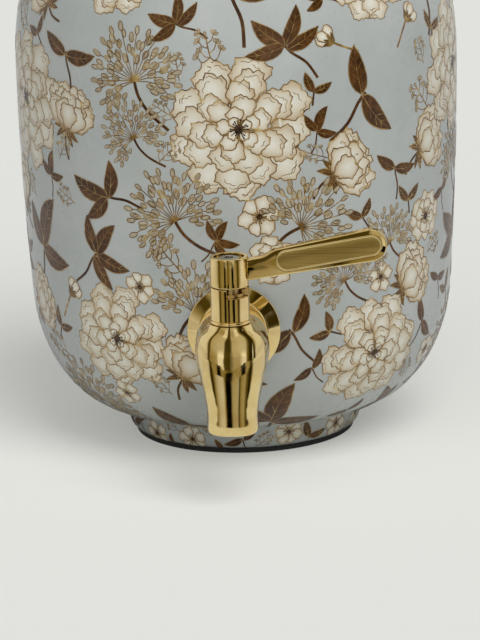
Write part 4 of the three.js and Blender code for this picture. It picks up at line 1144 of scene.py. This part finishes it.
def cup(size):
    """A half-open flower seen from the side: tall petals behind, shorter ones folded over them."""
    stalk = [(size * 0.3, -size * 1.6), (size * 0.05, -size * 1.2), (0, -size * 0.7)]
    shape = on_stalk(stalk, stem_width * 1.2)
    for angle in (1.9, -1.9, 2.5, -2.4):
        stamp(shape, leaf(size * 0.62, size * 0.2, 0.1, rows=6), 0, -size * 0.66, angle, layer=0.3)
    rows = ((-0.95, -0.45, 0.0, 0.5, 1.0), (-1.35, -0.7, 0.72, 1.4), (-0.4, 0.35), (-1.0, 0.95), (0.0,))
    reach = (1.45, 1.25, 1.2, 0.98, 0.85)
    for k, angles in enumerate(rows):
        for j, angle in enumerate(angles):
            long = size * reach[k] * chance.uniform(0.93, 1.05)
            mesh = petal(long, size * 0.92, ruffle=0.085, base=0.5, creases=1 if k < 2 else 0)
            stamp(shape, mesh, 0, -size * 0.72, angle * 0.62, layer=1 + k * 1.1 + j * 0.12)
    return flattened(shape)


def bud(length):
    stalk = [(length * 0.3, -length * 1.25), (length * 0.12, -length * 0.6), (0, -length * 0.05)]
    shape = on_stalk(stalk, stem_width, line_kind)
    for j, angle in enumerate((0.5, -0.5, 0.0)):
        mesh = petal(length * 0.78, length * 0.55, cells_across=5, rim=line_width * 0.8)
        stamp(shape, mesh, 0, -length * 0.05, angle, layer=1 + j)
    for angle in (0.75, -0.75, 0.25, -0.25):
        stamp(shape, leaf(length * 0.46, length * 0.15, 0, rows=5), 0, -length * 0.1, angle, layer=4.2)
    return flattened(shape)


def spray(size, leaves):
    """A curved stem with large leaves that fan out from its end."""
    sway = chance.choice((-1, 1)) * size * chance.uniform(0.35, 0.6)
    foot_at = -size * 0.35
    stalk = [(sway, -size * 1.5), (sway * 0.75, -size * 1.0), (sway * 0.2, -size * 0.6), (0, foot_at)]
    shape = on_stalk(stalk, stem_width * 1.5, lift=-0.015)
    for j in range(leaves):
        share = j / max(leaves - 1, 1)
        angle = (share - 0.5) * (2.1 if leaves < 4 else 2.8) + chance.uniform(-0.15, 0.15)
        long = size * (1.34 - abs(share - 0.5) * 0.5) * chance.uniform(0.85, 1.05)
        mesh = leaf(long, long * chance.uniform(0.36, 0.46), chance.uniform(0.08, 0.2) * (1 if angle < 0 else -1))
        stamp(shape, mesh, 0, foot_at - size * chance.uniform(0.0, 0.2), angle, layer=1 + j * 0.8)
    return flattened(shape)


def umbel(size):
    """A round seed head: rays from one point, each with seeds along it."""
    root = -size * 0.42

    def from_root(angle, out):
        return math.sin(angle) * out, root + math.cos(angle) * out

    stalk = [(size * 0.5, -size * 1.75), (size * 0.16, -size * 1.25), (0, -size * 0.8), (0, root)]
    shape = on_stalk(stalk, stem_width * 1.5, lift=-0.015)
    rays = 17
    for j in range(rays):
        share = j / (rays - 1) - 0.5
        angle = share * 4.3 + chance.uniform(-0.05, 0.05)
        long = size * chance.uniform(1.2, 1.36) * (1 - 0.62 * abs(share) ** 1.5)
        ray = [(0, root), from_root(angle * 0.86, long * 0.5), from_root(angle, long)]
        stamp(shape, stem(ray, line_width * 0.8, steps=3), layer=0.4)
        for k in range(5):
            turn = angle + (chance.uniform(0.04, 0.14) * (1 if (j + k) % 2 else -1) if k < 4 else 0)
            seed = dot(size * chance.uniform(0.060, 0.074), seed_kind, rim=line_width * 0.8, sides=9, stretch=1.8)
            stamp(shape, seed, *from_root(turn, long * (0.44 + 0.14 * k)), -turn, layer=1.4 + (k % 3) * 0.9)
    return flattened(shape)


def sprig(size):
    """A thin twig that branches, with a berry on each end."""
    berry = dot(0.04 * size + 0.42, seed_kind, rim=line_width * 0.8, sides=8, stretch=1.4)
    bend = chance.uniform(-0.35, 0.35) * size
    twig = [(-bend * 0.4, -size * 1.05), (bend * 0.1, -size * 0.5), (bend * 0.6, size * 0.1), (bend, size * 0.75)]
    shape = on_stalk(twig, line_width * 1.5, line_kind, -0.008)
    for j in range(7):
        share = 0.12 + 0.8 * j / 6
        base = (bend * (share - 0.15), -size + share * size * 1.7)
        side_sign = 1 if j % 2 else -1
        reach = size * chance.uniform(0.36, 0.55) * (1.15 - share * 0.55)
        tip = (base[0] + side_sign * reach, base[1] + reach * 0.95)
        bow = ((base[0] + tip[0]) / 2 + side_sign * reach * 0.12, base[1] + reach * 0.3)
        stamp(shape, stem([base, bow, tip], line_width * 1.15, steps=2))
        for spread in (-0.75, 0.05, 0.8):
            turn = -side_sign * 0.7 + spread
            end = (tip[0] - math.sin(turn) * size * 0.16, tip[1] + math.cos(turn) * size * 0.16)
            stamp(shape, stem([tip, end], line_width * 0.95, steps=1))
            stamp(shape, berry, *end, turn, layer=1.5)
    stamp(shape, berry, bend, size * 0.8, layer=1.5)
    return flattened(shape)


def leaf_pair(size):
    shape = on_stalk([(size * 0.3, -size * 1.3), (0, -size * 0.4)], stem_width)
    for angle in (-0.6, 0.75):
        long = size * chance.uniform(1.15, 1.5)
        bend = chance.uniform(0.06, 0.16) * (1 if angle < 0 else -1)
        stamp(shape, leaf(long, long * 0.42, bend, rows=7), 0, -size * 0.55, angle, layer=1)
    return flattened(shape)


def track_of(outline):
    """The outline as a list of (length along it in mm, radius, height, outward direction)."""
    track, length = [], 0.0
    for i, (point, out) in enumerate(zip(outline, outward(outline))):
        if i:
            length += math.dist(outline[i - 1], point) * 1000
        track.append((length, *point, *out))
    return track


def on_track(track, distance):
    """The radius, height and outward direction at a length along the track."""
    distance = min(max(distance, 0), track[-1][0])
    past = bisect.bisect_right(track, distance, key=lambda point: point[0])
    before, after = track[min(past, len(track) - 1) - 1], track[min(past, len(track) - 1)]
    share = (distance - before[0]) / (after[0] - before[0])
    return [a + (b - a) * share for a, b in zip(before, after)][1:]


def is_free(track, placed, angle, distance, radius):
    here = on_track(track, distance)[0] * 1000
    for _, other_angle, other_distance, other_radius in placed:
        apart = abs((angle - other_angle + math.pi) % math.tau - math.pi)
        apart *= min(here, on_track(track, other_distance)[0] * 1000)
        if math.hypot(apart, distance - other_distance) < (radius + other_radius) * closeness:
            return False
    return True


def scattered(track, placed, filler, low, high):
    """Adds each kind of motif at free places between two lengths along the track."""
    for kind, radius, count in filler:
        for _ in range(count):
            for _ in range(tries):
                angle, distance = chance.uniform(0, math.tau), chance.uniform(low, high)
                if is_free(track, placed, angle, distance, radius):
                    placed.append((kind, angle, distance, radius))
                    break
    return placed


def laid(track, placed, name, body, low, end_gap, flat_on_top=False):
    """The motifs bent onto the turned surface, cut off at both ends of the track."""
    decal = bmesh.new()
    high = track[-1][0] - end_gap
    for kind, angle, distance, radius in placed:
        mesh, unit = chance.choice(library[kind])
        turn = chance.uniform(0, math.tau) if kind in ("large", "medium", "small") else chance.uniform(-1.2, 1.2)
        motif = bmesh.new()
        stamp(motif, mesh, 0, 0, turn, radius / unit)
        for y, side_sign in ((low - distance, -1), (high - distance, 1)):
            whole = [*motif.verts, *motif.edges, *motif.faces]
            bmesh.ops.bisect_plane(
                motif, geom=whole, plane_co=(0, y, 0), plane_no=(0, side_sign, 0), clear_outer=True
            )
        centre = on_track(track, distance)[0]
        for vert in motif.verts:
            x, y, off = vert.co.x, vert.co.y, (print_floor + vert.co.z) / 1000 - print_depth
            if flat_on_top:
                x, y = math.atan2(x / 1000, centre - y / 1000), centre * 1000 - math.hypot(x, centre * 1000 - y)
            ring_radius, height, out_r, out_z = on_track(track, distance + y)
            if not flat_on_top:
                x = x / 1000 / ring_radius
            round_angle = angle - math.pi / 2 + x
            reach = ring_radius + out_r * off
            vert.co = (math.cos(round_angle) * reach, math.sin(round_angle) * reach, height + out_z * off)
        decal.from_mesh(flattened(motif))
    piece = made(decal, name)
    piece.data.shade_smooth()
    for material in print_paints:
        piece.data.materials.append(material)
    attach(piece, body)


petal_paint, tree, shader = finish_of("print_cream", Roughness=0.4, **enamel_glaze)
uv = add_node(tree, "UVMap", output="UV", uv_map="print")
fibres = add_node(tree, "Mapping", {"Vector": uv, "Scale": (13, 1.6, 1)})
streaks = noise(tree, fibres, 2.2, 4, 0.6)
clouds = noise(tree, object_place(tree), 90, 3)
from_middle = add_node(tree, "VectorMath", {0: uv, 1: (-0.5, -0.62, 0)}, operation="ADD")
out = add_node(tree, "VectorMath", {0: from_middle}, "Value", operation="LENGTH")
depth = worked_out(tree, "MULTIPLY_ADD", out, -1.75, 1.0)
depth = worked_out(tree, "MULTIPLY_ADD", streaks, 0.34, depth)
depth = worked_out(tree, "MULTIPLY_ADD", clouds, 0.45, depth)
join(shader, Base_Color=ramp(tree, between(tree, depth, 0.15, 1.30), [
    (0.0, (0.30, 0.20, 0.10)), (0.22, (0.41, 0.31, 0.19)), (0.42, (0.49, 0.41, 0.29)),
    (0.64, (0.57, 0.52, 0.41)), (1.0, (0.64, 0.62, 0.54)),
]))
print_paints = [petal_paint]
for name, pattern, sockets, tones in (
    ("print_gold_line", (260, 3), {"Roughness": 0.35, "Metallic": 0.35, "Specular_IOR_Level": 0.5}, (
        (0.32, (0.12, 0.060, 0.013)), (0.55, (0.27, 0.160, 0.045)), (0.75, (0.60, 0.44, 0.16)),
    )),
    ("print_leaf_brown", (170, 4, 0.65), {"Roughness": 0.4}, (
        (0.30, (0.024, 0.008, 0.001)), (0.52, (0.068, 0.026, 0.005)), (0.76, (0.16, 0.070, 0.020)),
    )),
    ("print_seed_beige", (240, 2), {"Roughness": 0.4}, ((0.3, (0.26, 0.215, 0.14)), (0.7, (0.40, 0.36, 0.27)))),
    ("print_dark_centre", (500, 2), {"Roughness": 0.4}, (
        (0.35, (0.010, 0.004, 0.002)), (0.75, (0.10, 0.05, 0.02)),
    )),
):
    material, tree, shader = finish_of(name, **{**enamel_glaze, **sockets})
    join(shader, Base_Color=ramp(tree, noise(tree, object_place(tree), *pattern), tones))
    print_paints.append(material)

library = {
    "large": [(large_bloom(), 30) for _ in range(4)],
    "medium": [(open_bloom(count, 12.5, 2), 12.5) for count in (7, 6, 8)],
    "small": [(open_bloom(count, 8.5), 8.5) for count in (5, 6, 7)],
    "cup": [(cup(13), 13) for _ in range(3)],
    "bud": [(bud(9.5), 9.5) for _ in range(3)],
    "spray": [(spray(18, count), 18) for count in (3, 2, 4, 3, 2)],
    "umbel": [(umbel(16), 16) for _ in range(3)],
    "sprig": [(sprig(11), 11) for _ in range(4)],
    "leaf_pair": [(leaf_pair(7.5), 7.5) for _ in range(3)],
}
pot_track = track_of([point for point in pot_outline[1:] if point[1] <= shoulder_height + lip_fillet])
placed = []
for distance, count, radius, start_turn in large_rows:
    for j in range(count):
        angle = (j / count + start_turn) * math.tau + chance.uniform(-0.06, 0.06)
        at = distance + chance.uniform(-7, 7)
        placed.append(("large", angle % math.tau, at, radius * chance.uniform(0.92, 1.05)))
scattered(pot_track, placed, filler, print_low, print_high)
for cell in range(cells):
    mine = [motif for motif in placed if int(motif[1] / math.tau * cells) % cells == cell]
    laid(pot_track, mine, "print_cell_%d" % (cell + 1), "dispenser", *pot_edges)
foot_track = track_of(offset(foot_outside, print_depth))
on_foot = scattered(foot_track, [], foot_filler, foot_gap, foot_track[-1][0])
laid(foot_track, on_foot, "foot_print", "dispenser", *foot_edges)
lid_top = [(radius, height + lid_seat) for radius, height in lid_outside if radius > knob_base + knob_clear]
lid_track = track_of(offset(lid_top, print_depth))
dome_start = lid_track[lid_round_steps + 1][0]
on_top = scattered(lid_track, [], lid_filler, dome_start + lid_gap, lid_track[-1][0] - lid_gap)
laid(lid_track, on_top, "lid_print", "lid", dome_start + lid_edges[0], lid_edges[1], flat_on_top=True)
